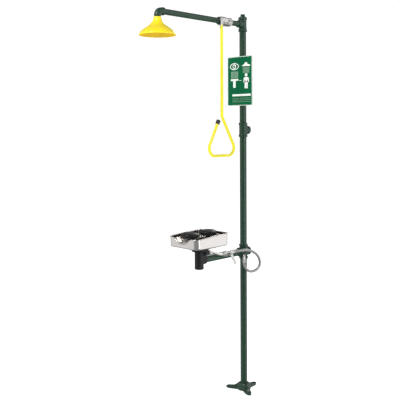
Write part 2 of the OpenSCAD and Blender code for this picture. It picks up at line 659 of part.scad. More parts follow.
module spray_manifold() color("#1c1c1e") translate([0, -bowl_y, 0]) difference() {
    union() {
        translate([0, 0, inlet_z + 1]) cylinder(r = riser_r, h = manifold_z - inlet_z);
        translate([0, 0, manifold_z]) along_y(-spray_gap / 2, spray_gap / 2, 13);
        for (s = [-1, 1]) translate([0, s * spray_gap / 2, 0]) {
            translate([0, 0, manifold_z]) sphere(r = 13);
            translate([0, 0, manifold_z]) cylinder(r = 13, h = head_z - manifold_z);
        }
        translate([0, 0, manifold_z - 14]) cylinder(r = 17, h = 24);
    }
    translate([0, 0, inlet_z]) cylinder(r = 8, h = manifold_z - inlet_z);
    translate([0, 0, manifold_z]) along_y(-spray_gap / 2, spray_gap / 2, 8);
    for (s = [-1, 1]) translate([0, s * spray_gap / 2, manifold_z]) cylinder(r = 8, h = 30);
}

head_r = cover_d / 2 - cover_t - 2.5; // outside of a spray head, inside its cover
ear_y = 9; // half the width of the cover's middle knuckle
module spray_head() color("#1c1c1e") difference() {
    union() {
        translate([0, 0, head_z]) cylinder(r1 = 24, r2 = head_r, h = 8);
        translate([0, 0, head_z + 8]) cylinder(r = head_r, h = head_lip_z - head_z - 8);
        for (s = [-1, 1]) translate([-hinge_x, s * (ear_y + gap + 2.5), 0]) ear(2.5 - fit);
    }
    translate([0, 0, head_z + 5]) cylinder(r1 = 18, r2 = head_r - 8, h = 7.5);
    translate([0, 0, head_z + 12]) cylinder(r = head_r - 4, h = 20);
    translate([0, 0, head_z - 1]) cylinder(r = 7, h = 10);
    translate([-hinge_x, 0, hinge_z]) along_y(-20, 20, hinge_r + fit);
}
// A hinge ear of the head, half as wide as w, that reaches in to the head's wall.
module ear(w) {
    translate([0, 0, hinge_z]) along_y(-w, w, 4.5);
    translate([-4.5, -w, hinge_z - 9]) cube([hinge_x - head_r + 10, 2 * w, 5]);
    translate([-4.5, -w, hinge_z - 9]) cube([9, 2 * w, 9]);
}
module spray_head_front() translate([0, -bowl_y - spray_gap / 2, 0]) spray_head();
module spray_head_rear() translate([0, -bowl_y + spray_gap / 2, 0]) spray_head();
module spray_screens() color("white") for (s = [-1, 1]) translate([0, -bowl_y + s * spray_gap / 2, 0]) difference() {
    translate([0, 0, head_z + 12]) cylinder(r = head_r - 4 - fit, h = 5);
    for (k = [0:11]) rotate(30 * k) translate([24, 0, 0]) cylinder(r = 1.5, h = 2000, $fn = 16);
    for (k = [0:5]) rotate(60 * k) translate([12, 0, 0]) cylinder(r = 1.5, h = 2000, $fn = 16);
}

// A dust cover: a shallow dished lid that drops over the head, with one hinge knuckle.
skirt_z = head_z + 10;
module dust_cover() color("#232326") difference() {
    union() {
        rotate_extrude() polygon([[0, skirt_z], [cover_d / 2, skirt_z], [cover_d / 2, cover_top_z - 8],
            [cover_d / 2 - 6, cover_top_z - 2], [cover_d / 2 - 14, cover_top_z], [0, cover_top_z]]);
        translate([-hinge_x, 0, hinge_z]) along_y(-ear_y, ear_y, 4);
        translate([-hinge_x, -ear_y, hinge_z]) cube([8, 2 * ear_y, 4]);
    }
    difference() {
        translate([0, 0, skirt_z - 1]) cylinder(r = cover_d / 2 - cover_t, h = cover_top_z - cover_t - skirt_z - 5);
        seal_lip();
    }
    translate([0, 0, skirt_z]) cylinder(r = cover_d / 2 - 15, h = cover_top_z - cover_t - skirt_z);
    translate([-hinge_x, 0, hinge_z]) along_y(-20, 20, hinge_r + fit);
    translate([-hinge_x - 10, -42, skirt_z - 1]) cube([33, 84, head_lip_z + 2 - skirt_z]);
    for (s = [0, 1]) mirror([0, s, 0]) translate([-hinge_x - 10, ear_y, 0])
        cube([21, 5 + 2 * gap, hinge_z + 6]);
}
// The lip under the cover that rests on the head's edge.
module seal_lip() translate([0, 0, head_lip_z + gap]) difference() {
    cylinder(r = head_r - 0.5, h = 12);
    translate([0, 0, -1]) cylinder(r = head_r - 3, h = 14);
}
module dust_cover_front() translate([0, -bowl_y - spray_gap / 2, 0]) dust_cover();
module dust_cover_rear() translate([0, -bowl_y + spray_gap / 2, 0]) dust_cover();
module cover_hinge_pins() color("gray") for (s = [-1, 1])
    translate([-hinge_x, -bowl_y + s * spray_gap / 2, hinge_z]) along_y(-15, 15, hinge_r);

// ---- eyewash valve, tube and hose ----

wash_len = 63;
wash_ball = 12;
wash_stem = 4;
wash_neck = 20;
wash_lever_x = 27; // inner face of the lever, from the valve's axis
module at_wash_valve() translate([wash_x, -wash_y, wash_z]) children();

module supply_tube() color("silver") swept(smooth(TUBE, 5), tube_d, 16);
module tube_nuts() color("silver") {
    translate([inlet_x, -boss_y + 14, inlet_z]) tube_nut();
    translate([wash_x, -wash_y - wash_len / 2 - 0.1, wash_z]) tube_nut();
}
module tube_nut() rotate([90, 0, 0]) difference() {
    union() {
        hex(24, 9);
        translate([0, 0, 9]) cylinder(r = 11, h = 4.9);
    }
    translate([0, 0, -1]) cylinder(r = tube_d / 2 + tube_slack, h = 20);
}
module eyewash_valve_body() color("silver") at_wash_valve()
    valve_body(wash_len, 17, 29, wash_ball, 14, wash_ball - 1, 7, wash_inlet_r, wash_stem, wash_neck, 14);
module eyewash_valve_tailpiece() color("silver") at_wash_valve()
    valve_tailpiece(wash_len, 29, 14, wash_ball - 1, 7, tube_d / 2);
module eyewash_seats() color("white") at_wash_valve() valve_seats(wash_ball, 14, wash_ball - 1, 7);
module eyewash_ball() color("lightgray") at_wash_valve() valve_ball(wash_ball, 7, wash_stem);
module eyewash_stem() color("gray") at_wash_valve()
    valve_stem(wash_ball, wash_stem, wash_lever_x, wash_lever_x + 9);
wash_angle = 57.6; // the lever hangs this far below the horizontal, towards the post
module eyewash_lever() color("silver") at_wash_valve() translate([wash_lever_x, 0, 0])
    difference() {
        rotate([-wash_angle, 0, 0]) strap(wash_lever, 9, 7.5, 3);
        stem_hole(wash_stem);
    }
module eyewash_lever_nut() color("gray") at_wash_valve() lever_nut(wash_lever_x + 3.05, 10, 5, wash_stem);

module eyewash_hose() color("#9a9c9c") swept(smooth(HOSE, 2), hose_d, 12);
module hose_ferrules() color("silver") {
    translate(HOSE[0]) rotate([-90, 0, 0]) sleeve();
    translate(HOSE[len(HOSE) - 1]) rotate([180, 0, 0]) sleeve();
}
// A crimped sleeve over the hose's end, along +Z.
module sleeve() difference() {
    cylinder(r = hose_d / 2 + 1.6, h = 14);
    translate([0, 0, -1]) cylinder(r = hose_d / 2 + tube_slack, h = 16);
}
// The hose's nut on the valve: a thread in the valve's inlet and a hexagon.
module hose_nut() color("silver") translate([wash_x, 0, wash_z]) {
    face = -wash_y + wash_len / 2;
    difference() {
        union() {
            along_y(face - 12, face + 1, wash_inlet_r);
            translate([0, HOSE[0].y - gap, 0]) rotate([90, 0, 0]) hex(22, HOSE[0].y - face - gap - fit);
        }
        along_y(face - 20, face + 20, 5);
    }
}
// The elbow screws into the cross's hose port and turns down to the hose.
module hose_elbow() color("silver") difference() {
    union() {
        translate([0, 0, cross_z]) hose_port() translate([0, 0, 12.1]) cylinder(r = 7.5, h = elbow_out - 12);
        translate([0, 0, cross_z]) hose_port() translate([0, 0, 24 + fit]) hex(16, 6);
        translate(elbow_at) sphere(r = 9);
        translate([elbow_at.x, elbow_at.y, HOSE[len(HOSE) - 1].z + fit]) cylinder(r = 8, h = elbow_at.z - HOSE[len(HOSE) - 1].z);
    }
    translate([0, 0, cross_z]) hose_port() cylinder(r = 4, h = elbow_out + 2);
    translate([elbow_at.x, elbow_at.y, 0]) cylinder(r = 4.4, h = elbow_at.z + 3);
}

floor_flange();
lower_post();
waste_cross();
middle_post();
supply_tee();
upper_post();
top_tee();
top_plug();
valve_nipple();
shower_valve_body();
shower_valve_tailpiece();
shower_valve_seats();
shower_ball();
shower_stem();
shower_packing();
shower_gland_nut();
shower_lever();
shower_lever_nut();
rod_link();
link_pin();
rod_pin();
pull_rod();
rod_end_cap();
arm_lock_nut();
arm_pipe();
arm_elbow();
shower_head_shell();
spray_plate();
spray_plate_screws();
flow_washer();
sign_plate();
sign_brackets();
sign_bands();
sign_screws();
waste_arm();
receiver_body();
cleanout_cap();
bowl_gasket();
bowl();
drain_strainer();
spray_manifold();
spray_head_front();
spray_head_rear();
spray_screens();
dust_cover_front();
dust_cover_rear();
cover_hinge_pins();
supply_tube();
tube_nuts();
eyewash_valve_body();
eyewash_valve_tailpiece();
eyewash_seats();
eyewash_ball();
eyewash_stem();
eyewash_lever();
eyewash_lever_nut();
eyewash_hose();
hose_ferrules();
hose_nut();
hose_elbow();
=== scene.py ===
"""Looks of a combination emergency station: a deluge shower, and an eye and face wash, on one post.

Sizes in this file are millimetres in the part's own frame, until mesh_from() turns them to metres.
"""

import json

import bmesh
import bpy
import numpy as np
from mathutils import Matrix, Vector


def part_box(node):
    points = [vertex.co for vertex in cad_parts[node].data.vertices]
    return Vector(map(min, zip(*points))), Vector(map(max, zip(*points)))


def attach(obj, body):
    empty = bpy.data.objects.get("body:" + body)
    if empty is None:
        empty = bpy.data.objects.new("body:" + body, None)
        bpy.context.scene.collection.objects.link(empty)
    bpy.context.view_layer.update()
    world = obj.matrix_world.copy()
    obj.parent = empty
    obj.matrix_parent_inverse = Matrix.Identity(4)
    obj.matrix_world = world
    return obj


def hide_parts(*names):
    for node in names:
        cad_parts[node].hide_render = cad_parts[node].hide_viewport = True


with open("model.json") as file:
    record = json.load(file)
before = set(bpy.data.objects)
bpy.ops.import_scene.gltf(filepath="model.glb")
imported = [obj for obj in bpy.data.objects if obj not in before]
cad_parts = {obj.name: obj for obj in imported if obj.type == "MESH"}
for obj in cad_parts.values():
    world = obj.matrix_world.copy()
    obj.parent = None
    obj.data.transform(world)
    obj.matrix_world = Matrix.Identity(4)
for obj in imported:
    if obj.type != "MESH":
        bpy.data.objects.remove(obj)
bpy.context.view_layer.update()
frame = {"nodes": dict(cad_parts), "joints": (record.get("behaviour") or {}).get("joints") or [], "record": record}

bl_info = {
    "name": "Emergency Station",
    "version": (1, 0, 0),
    "blender": (4, 5, 0),
    "location": "View3D > Sidebar > Station",
    "description": "Builds the visible pieces of a combination emergency shower and eyewash",
    "category": "Add Mesh",
}

MM = 0.001
X, Y, Z = np.eye(3)


# ---------------------------------------------------------------- places, from the frame


def low(node):
    """The node's lowest corner, in millimetres."""
    return np.array(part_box(node)[0]) / MM


def high(node):
    """The node's highest corner, in millimetres."""
    return np.array(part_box(node)[1]) / MM


def middle(node):
    """The centre of the node's box, in millimetres."""
    return (low(node) + high(node)) / 2


def span(node):
    """The width, depth and height of the node's box, in millimetres."""
    return high(node) - low(node)


def joint_at(name):
    """The point that a joint turns about, in millimetres."""
    return np.array(next(j["pos_m"] for j in frame["joints"] if j["name"] == name)) / MM


POST_R = span("lower_post")[0] / 2
ARM_R = span("arm_pipe")[0] / 2
CROSS = middle("waste_cross") * Z
SUPPLY = middle("supply_tee") * Z
TOP = middle("top_tee") * Z
REACH = span("supply_tee")[2] / 2
BAND = 15.0
THREAD = 17.0
PITCH = 2.2
HOSE_PORT = CROSS + np.array([14, -14, -14])
HOSE_PORT_WAY = np.array([1, -1, 0]) / np.sqrt(2)
BOWL = middle("bowl")
HEAD_AXIS = middle("shower_head_shell") * (X + Y)


# ---------------------------------------------------------------- shapes, worked out with numpy


def across(direction):
    """Two unit vectors that stand across a direction and across each other."""
    w = np.asarray(direction, float) / np.linalg.norm(direction)
    u = np.cross(w, X if abs(w[0]) < 0.9 else Y)
    u /= np.linalg.norm(u)
    return u, np.cross(w, u), w


def angles(sides):
    """The angles of so many points, evenly round a circle."""
    return np.linspace(0, 2 * np.pi, sides, endpoint=False)


def rings_round(axis, at, heights, radii, sides):
    """Rings round an axis w: at + h w + r (cos a u + sin a v), with one radius for each ring, or one for
    each of its points."""
    u, v, w = across(axis)
    a = angles(sides)
    spokes = np.cos(a)[:, None] * u + np.sin(a)[:, None] * v
    return np.asarray(at, float) + heights[:, None, None] * w + radii[..., None] * spokes


def turned(profile, axis=Z, at=(0, 0, 0), sides=72):
    """A lathe shape: each (r, h) of the profile becomes a ring."""
    r, h = np.asarray(profile, float).T
    return rings_round(axis, at, h, r[:, None], sides)


def lathe(profile, soft, axis=Z, at=(0, 0, 0), sides=72):
    """A lathe shape whose corners are softened by a radius."""
    return turned(softened(profile, soft), axis, at, sides)


def softened(profile, radius, steps=5):
    """The profile with each corner p replaced by the curve (1-t)^2 a + 2t(1-t) p + t^2 b between points
    a and b that lie up to a radius away from p on its two sides."""
    p = np.asarray(profile, float)
    t = np.linspace(0, 1, steps)[:, None]
    out = [p[:1]]
    for before, corner, after in zip(p[:-2], p[1:-1], p[2:]):
        la, lb = np.linalg.norm(before - corner), np.linalg.norm(after - corner)
        a = corner + (before - corner) * min(radius, la / 2.1) / la
        b = corner + (after - corner) * min(radius, lb / 2.1) / lb
        out.append((1 - t) ** 2 * a + 2 * t * (1 - t) * corner + t**2 * b)
    return np.vstack(out + [p[-1:]])


def smooth_path(points, steps):
    """A Catmull-Rom curve through the points, with that many steps between two of them."""
    p = np.asarray(points, float)
    q = np.vstack([p[:1], p, p[-1:]])
    t = np.linspace(0, 1, steps, endpoint=False)[:, None]
    runs = [
        0.5 * (2 * b + (c - a) * t + (2 * a - 5 * b + 4 * c - d) * t**2
               + (3 * b - a - 3 * c + d) * t**3)
        for a, b, c, d in zip(q[:-3], q[1:-2], q[2:-1], q[3:])
    ]
    return np.vstack(runs + [p[-1:]])


def evenly(path, step):
    """The same path with points a step apart along its length."""
    s = np.concatenate([[0], np.cumsum(np.linalg.norm(np.diff(path, axis=0), axis=1))])
    n = max(2, int(round(s[-1] / step)))
    at = np.linspace(0, s[-1], n + 1)
    return np.stack([np.interp(at, s, path[:, k]) for k in range(3)], axis=1)


def swept(path, radius, sides=32, side=X):
    """A tube: at each path point the ring p + r (cos a u + sin a v), where u is the side vector made
    square to the path. The radius is one number, one per ring, or one per ring and side."""
    ways = np.gradient(path, axis=0)
    ways /= np.linalg.norm(ways, axis=1, keepdims=True)
    u = side - (ways @ side)[:, None] * ways
    u /= np.linalg.norm(u, axis=1, keepdims=True)
    v = np.cross(ways, u)
    a = angles(sides)
    r = np.asarray(radius, float)
    r = np.broadcast_to(r[:, None] if r.ndim == 1 else r, (len(path), sides))
    spokes = np.cos(a)[:, None] * u[:, None] + np.sin(a)[:, None] * v[:, None]
    return path[:, None] + r[..., None] * spokes


def six_sided(flats, length, axis, at, chamfer=1.0, sides=96):
    """A hexagonal nut or prism: the radius is the hexagon's flats / (2 cos b), with b the angle from the
    middle of the nearest flat, and near both ends a cone of the chamfer cuts the corners round."""
    corner = flats / 2 / np.cos((angles(sides) + np.pi / 6) % (np.pi / 3) - np.pi / 6)
    heights = np.array([0, 0, chamfer, length / 2, length - chamfer, length, length])
    cut = flats / 2 * np.array([0.0, 1.02, 1.16, 1.2, 1.16, 1.02, 0.0])
    return rings_round(axis, at, heights, np.minimum(corner, cut[:, None]), sides)


def frame_outline(w, l, r, straight=14, corner=8):
    """A rounded rectangle in the XY plane, from quarter circles of radius r and straight sides."""
    t = np.linspace(0, np.pi / 2, corner, endpoint=False)
    s = np.linspace(0, 1, straight, endpoint=False)[:, None]
    centres = [np.array([x * (w / 2 - r), y * (l / 2 - r)])
            for x, y in ((1, 1), (-1, 1), (-1, -1), (1, -1))]
    out = []
    for k, centre in enumerate(centres):
        a, last = t + k * np.pi / 2, (k + 1) * np.pi / 2
        spoke = r * np.array([np.cos(last), np.sin(last)])
        end, following = centre + spoke, centres[(k + 1) % 4] + spoke
        out += [centre + r * np.stack([np.cos(a), np.sin(a)], 1), end + (following - end) * s]
    return np.vstack(out)


# ---------------------------------------------------------------- meshes


def faces_of(n, m, ring_closed):
    """The quads between n rings of m points, as rows of four vertex numbers."""
    i, j = np.meshgrid(np.arange(n - 1), np.arange(m if ring_closed else m - 1), indexing="ij")
    k = (j + 1) % m
    return np.stack([i * m + j, i * m + k, (i + 1) * m + k, (i + 1) * m + j], -1).reshape(-1, 4)


def mesh_from(name, shells, sharp=40.0, with_uv=False):
    """One mesh from grids of points. Each grid is (rings, points, 3) in millimetres; its rings are closed,
    and its two ends are closed with a fan unless the last ring is the first one again."""
    points, quads, uvs, start = [], [], [], 0
    for shell in shells:
        shell = np.asarray(shell, float)
        looped = np.allclose(shell[0], shell[-1])
        if not looped:
            ends = shell[[0, -1]].mean(axis=1, keepdims=True) + 0 * shell[[0, -1]]
            shell = np.concatenate([ends[:1], shell, ends[1:]])
        n, m = shell.shape[:2]
        points.append(shell.reshape(-1, 3))
        quads.append(faces_of(n, m, True) + start)
        i, j = np.meshgrid(np.arange(n - 1), np.arange(m), indexing="ij")
        along = np.stack([i, i, i + 1, i + 1], -1).reshape(-1, 4)
        round_ = np.stack([j, j + 1, j + 1, j], -1).reshape(-1, 4)
        uvs.append(np.stack([along / (n - 1), round_ / m], -1).reshape(-1, 2))
        start += n * m
    mesh = bpy.data.meshes.new(name)
    mesh.from_pydata(np.vstack(points) * MM, [], np.vstack(quads))
    if with_uv:
        layer = mesh.uv_layers.new(name="UVMap")
        layer.data.foreach_set("uv", np.vstack(uvs).astype(np.float32).ravel())
    tidy_mesh(mesh)
    mesh.shade_smooth()
    mesh.set_sharp_from_angle(angle=np.radians(sharp))
    obj = bpy.data.objects.new(name, mesh)
    bpy.context.scene.collection.objects.link(obj)
    return obj


def tidy_mesh(mesh):
    """Closes seams and poles, drops faces with no area and turns every face outwards."""
    work = bmesh.new()
    work.from_mesh(mesh)
    bmesh.ops.remove_doubles(work, verts=work.verts, dist=1e-6)
    bmesh.ops.dissolve_degenerate(work, edges=work.edges, dist=1e-7)
    bmesh.ops.recalc_face_normals(work, faces=work.faces)
    work.to_mesh(mesh)
    work.free()


def settled(obj, sharp=40.0):
    """The object with its modifiers worked into its mesh."""
    graph = bpy.context.evaluated_depsgraph_get()
    mesh = bpy.data.meshes.new_from_object(obj.evaluated_get(graph))
    old, obj.data = obj.data, mesh
    obj.modifiers.clear()
    bpy.data.meshes.remove(old)
    mesh.shade_smooth()
    mesh.set_sharp_from_angle(angle=np.radians(sharp))
    return obj


def melted(obj, voxel=1.1, rounds=6):
    """Overlapping shells joined into one skin with soft inner corners, as a casting has."""
    remesh = obj.modifiers.new("skin", "REMESH")
    remesh.mode = "VOXEL"
    remesh.voxel_size = voxel * MM
    soften = obj.modifiers.new("soften", "SMOOTH")
    soften.factor = 0.5
    soften.iterations = rounds
    return settled(obj, 60)


def drilled(obj, cutters, sharp=40.0):
    """The object with the cutters' shells taken out of it."""
    tool = mesh_from(obj.name + "_tool", cutters)
    cut = obj.modifiers.new("cut", "BOOLEAN")
    cut.operation = "DIFFERENCE"
    cut.solver = "EXACT"
    cut.use_self = True
    cut.object = tool
    settled(obj, sharp)
    bpy.data.objects.remove(tool)
    return obj


def bar(a, b, r, axis, at=(0, 0, 0), sides=64):
    """A plain round bar from a to b along an axis."""
    return turned([(r, a), (r, b)], axis, at, sides)


def block(low_corner, high_corner):
    """A box as a grid of two square rings."""
    (x0, y0, z0), (x1, y1, z1) = low_corner, high_corner
    ring = np.array([(x0, y0), (x1, y0), (x1, y1), (x0, y1)], float)
    return np.stack([np.column_stack([ring, np.full(4, z)]) for z in (z0, z1)])


def plate(name, outline, thick, x):
    """A flat plate in the YZ plane: its outline at x and at x + thick, with rounded edges."""
    ring = np.asarray(outline, float)
    rows = [np.column_stack([np.full(len(ring), x + k * thick), ring]) for k in (0, 1)]
    obj = mesh_from(name, [np.stack(rows)], 30)
    bevel = obj.modifiers.new("edge", "BEVEL")
    bevel.width = 0.5 * MM
    bevel.segments = 3
    bevel.limit_method = "ANGLE"
    bevel.angle_limit = np.radians(50)
    return settled(obj, 30)


def strap_outline(a, b, ra, rb, steps=14):
    """The outline round two circles, of radius ra at a and rb at b, as one convex line."""
    a, b = np.asarray(a, float), np.asarray(b, float)
    away = np.arctan2(*(a - b)[::-1])
    t = np.linspace(-np.pi / 2, np.pi / 2, steps)
    first = a + ra * np.stack([np.cos(away + t), np.sin(away + t)], 1)
    last = b + rb * np.stack([np.cos(away + np.pi + t), np.sin(away + np.pi + t)], 1)
    return np.vstack([first, last])


# ---------------------------------------------------------------- finishes


class Signal:
    """A shader value that can be written in sums, so that 1 - mask adds its own Math node."""

    def __init__(self, finish, socket):
        self.finish, self.socket = finish, socket

    def _math(self, kind, a, b):
        node = self.finish.node("ShaderNodeMath", {"operation": kind}, {0: a, 1: b})
        return Signal(self.finish, node.outputs[0])

    def __add__(self, other):
        return self._math("ADD", self, other)

    def __mul__(self, other):
        return self._math("MULTIPLY", self, other)

    def __sub__(self, other):
        return self._math("SUBTRACT", self, other)

    def __rsub__(self, other):
        return self._math("SUBTRACT", other, self)

    def __gt__(self, other):
        return self._math("GREATER_THAN", self, other)

    def largest(self, other):
        return self._math("MAXIMUM", self, other)

    def waves(self):
        return self._math("SINE", self, 0.0)

    def size(self):
        return self._math("ABSOLUTE", self, 0.0)

    __radd__, __rmul__ = __add__, __mul__


class Nodes:
    """A node tree, with methods that add any node to it and set its sockets."""

    def __init__(self, tree):
        self.tree = tree

    def node(self, kind, settings=None, values=None):
        made = self.tree.nodes.new(kind)
        for key, value in (settings or {}).items():
            setattr(made, key, value)
        for key, value in (values or {}).items():
            self.put(made.inputs[key], value)
        return made

    def put(self, socket, value):
        if isinstance(value, Signal):
            value = value.socket
        if isinstance(value, bpy.types.NodeSocket):
            self.tree.links.new(value, socket)
        else:
            socket.default_value = value

    def range(self, value, a, b, c, d):
        """The value's range a..b turned into c..d, held at both ends."""
        node = self.node("ShaderNodeMapRange", {"clamp": True}, {
            "Value": value, "From Min": a, "From Max": b, "To Min": c, "To Max": d})
        return Signal(self, node.outputs[0])


class Finish(Nodes):
    """A material with a Principled shader."""

    def __init__(self, name, **plain):
        self.material = bpy.data.materials.new(name)
        self.material.use_nodes = True
        super().__init__(self.material.node_tree)
        self.shader = self.tree.nodes["Principled BSDF"]
        for socket, value in plain.items():
            self.shader.inputs[socket.replace("_", " ")].default_value = value

    def place(self, scale=(1, 1, 1)):
        """Object coordinates in metres, times a scale."""
        coords = self.node("ShaderNodeTexCoord").outputs["Object"]
        return self.node("ShaderNodeMapping", {}, {"Vector": coords, "Scale": scale}).outputs[0]

    def axis(self, name):
        """One Object coordinate in metres."""
        coords = self.node("ShaderNodeTexCoord").outputs["Object"]
        return Signal(self, self.node("ShaderNodeSeparateXYZ", {}, {0: coords}).outputs[name])

    def noise(self, scale, detail=4.0, rough=0.55, stretch=(1, 1, 1)):
        node = self.node("ShaderNodeTexNoise", {}, {
            "Vector": self.place(stretch), "Scale": scale, "Detail": detail, "Roughness": rough})
        return Signal(self, node.outputs[0])

    def mix(self, factor, one, two):
        """One colour where the factor is 0, the other where it is 1."""
        one, two = ((*tone, 1) if isinstance(tone, tuple) else tone for tone in (one, two))
        return self.node("ShaderNodeMix", {"data_type": "RGBA"},
            {0: factor, 6: one, 7: two}).outputs[2]

    def bump(self, height, distance_mm, strength=1.0):
        node = self.node("ShaderNodeBump", {}, {"Height": height, "Strength": strength,
                "Distance": distance_mm * MM})
        self.put(self.shader.inputs["Normal"], node.outputs[0])

    def feed(self, **sockets):
        for name, value in sockets.items():
            self.put(self.shader.inputs[name.replace("_", " ")], value)
        return self


def enamel(name, colour, grain, depth):
    """Gloss paint: slow colour drift, orange peel or casting grain under it, and dull dusty patches."""
    f = Finish(name, Specular_IOR_Level=0.4)
    drift = f.noise(9.0, 3.0)
    dust = f.range(f.noise(34.0, 6.0, 0.7), 0.45, 0.72, 0.0, 1.0)
    dark = tuple(0.72 * c for c in colour)
    pale = tuple(1.35 * c + 0.004 for c in colour)
    f.feed(Base_Color=f.mix(dust * 0.25, f.mix(drift, dark, pale),
            tuple(c + 0.012 for c in colour)),
        Roughness=f.range(drift + dust * 0.5, 0.3, 1.1, 0.2, 0.42))
    f.shader.inputs["Coat Weight"].default_value = 0.2
    f.shader.inputs["Coat Roughness"].default_value = 0.12
    f.bump(f.noise(grain, 5.0, 0.6), depth)
    return f.material


def plated(name, tone, rough, streak=0.0):
    """Plated or polished metal: faint smears in the gloss, and fine lines where it was brushed."""
    f = Finish(name, Metallic=1.0)
    smear = f.noise(26.0, 5.0, 0.65)
    lines = f.noise(420.0, 2.0, 0.5, (1, 1, 0.05))
    f.feed(Base_Color=f.mix(smear, tuple(0.88 * c for c in tone), tone),
        Roughness=f.range(smear * (1 - streak) + lines * streak, 0.3, 0.7, rough * 0.6,
            rough * 1.5))
    f.bump(lines, 0.02 + 0.06 * streak, 0.5)
    return f.material


DULL = 0.25  # the gloss up to which moulded plastic hardly mirrors at grazing angles


def moulded(name, colour, rough, grain=900.0, depth=0.05, coat=0.0, gloss=0.4):
    """Moulded plastic: flow marks in the tone, and a fine texture from the mould."""
    f = Finish(name, Roughness=rough, Specular_IOR_Level=gloss, IOR=1.5 if gloss > DULL else 1.12)
    flow = f.noise(14.0, 4.0, 0.6, (1, 1, 0.6))
    f.feed(Base_Color=f.mix(flow, tuple(0.86 * c for c in colour),
            tuple(min(1, 1.1 * c + 0.002) for c in colour)),
        Roughness=f.range(flow, 0.3, 0.7, rough * 0.85, rough * 1.2))
    f.shader.inputs["Coat Weight"].default_value = coat
    f.shader.inputs["Coat Roughness"].default_value = 0.1
    f.bump(f.noise(grain, 3.0), depth)
    return f.material


def printed_green(name, colour, back, split_y):
    """The sign's sheet: printed green in front of split_y, pale behind it, with scuffs in the gloss."""
    f = Finish(name, Specular_IOR_Level=0.15, IOR=1.25)
    behind = f.axis("Y") > split_y * MM
    scuff = f.noise(60.0, 5.0, 0.7)
    front = f.mix(scuff, tuple(0.85 * c for c in colour), tuple(1.12 * c for c in colour))
    f.feed(Base_Color=f.mix(behind, front, back), Roughness=f.range(scuff, 0.35, 0.7, 0.25, 0.45))
    f.bump(f.noise(300.0, 2.0), 0.02)
    return f.material


def braided(name):
    """Woven steel wire: painted shade darkens the grooves between the strands, and their crests are paler and
    shinier.
    """
    f = Finish(name, Metallic=0.85)
    uv = f.node("ShaderNodeUVMap", {"uv_map": "UVMap"}).outputs[0]
    parts = f.node("ShaderNodeSeparateXYZ", {}, {0: uv})
    along, round_ = Signal(f, parts.outputs[0]), Signal(f, parts.outputs[1])
    one = (round_ * (2 * np.pi * STRANDS) + along * (2 * np.pi * TURNS)).waves().size()
    two = (round_ * (2 * np.pi * STRANDS) - along * (2 * np.pi * TURNS)).waves().size()
    # This mask is near 1 on a strand's crest and near 0 in the groove between strands; the dark tone it gives the
    # grooves is painted shade.
    crest_vs_shaded_groove = f.range(one.largest(two), 0.35, 0.95, 0.0, 1.0)
    wires = f.noise(1500.0, 2.0)
    f.feed(Base_Color=f.mix(crest_vs_shaded_groove, (0.05, 0.05, 0.05), (0.5, 0.5, 0.49)),
           Roughness=f.range(wires + crest_vs_shaded_groove * 0.3, 0.4, 1.0, 0.5, 0.28))
    f.bump(wires, 0.05)
    return f.material


def rubbery(name):
    """Black rubber: dull, with a dusty bloom."""
    f = Finish(name, Roughness=0.7)
    bloom = f.noise(45.0, 5.0, 0.7)
    f.feed(Base_Color=f.mix(bloom, (0.012, 0.012, 0.012), (0.035, 0.035, 0.034)),
           Roughness=f.range(bloom, 0.3, 0.7, 0.55, 0.8))
    f.bump(f.noise(700.0, 3.0), 0.06)
    return f.material


class StationColours(bpy.types.PropertyGroup):
    """Colours that a user would change."""

    def tone(label, words, value):
        return bpy.props.FloatVectorProperty(
            name=label, description=words, subtype="COLOR", size=3, min=0.0, max=1.0, default=value)

    paint: tone("Paint", "Colour of the pipe post and its fittings", (0.006, 0.036, 0.018))
    shell: tone("Shower head", "Colour of the plastic shower head", (0.95, 0.73, 0.012))
    rod: tone("Pull rod", "Colour of the coated pull rod", (0.80, 0.72, 0.02))
    sign: tone("Sign", "Printed colour of the sign", (0.003, 0.115, 0.045))
    plastic: tone("Black plastic", "Colour of the receiver, spray heads and covers",
        (0.009, 0.009, 0.010))
    del tone


class StationSizes(bpy.types.PropertyGroup):
    """Sizes of what only the looks hold."""

    def length(label, words, value):
        return bpy.props.FloatProperty(name=label, description=words, subtype="DISTANCE",
            unit="LENGTH", min=0.0, default=value)

    camera_distance: length("Camera distance", "From the camera's plane to the post", 4.042)
    camera_height: length("Camera height", "Height of the camera above the floor", 1.616)
    rim_roll: length("Rim roll", "Radius of the bowl's rolled rim", 0.0021)
    braid_relief: length("Braid relief", "How far a strand of the hose stands out", 0.0005)
    floor_size: length("Floor", "Side of the square floor", 60.0)
    del length


def colour(name):
    return tuple(getattr(bpy.context.scene.station_colours, name))


def size(name):
    """A size setting, in millimetres."""
    return getattr(bpy.context.scene.station_sizes, name) / MM


MADE = {}


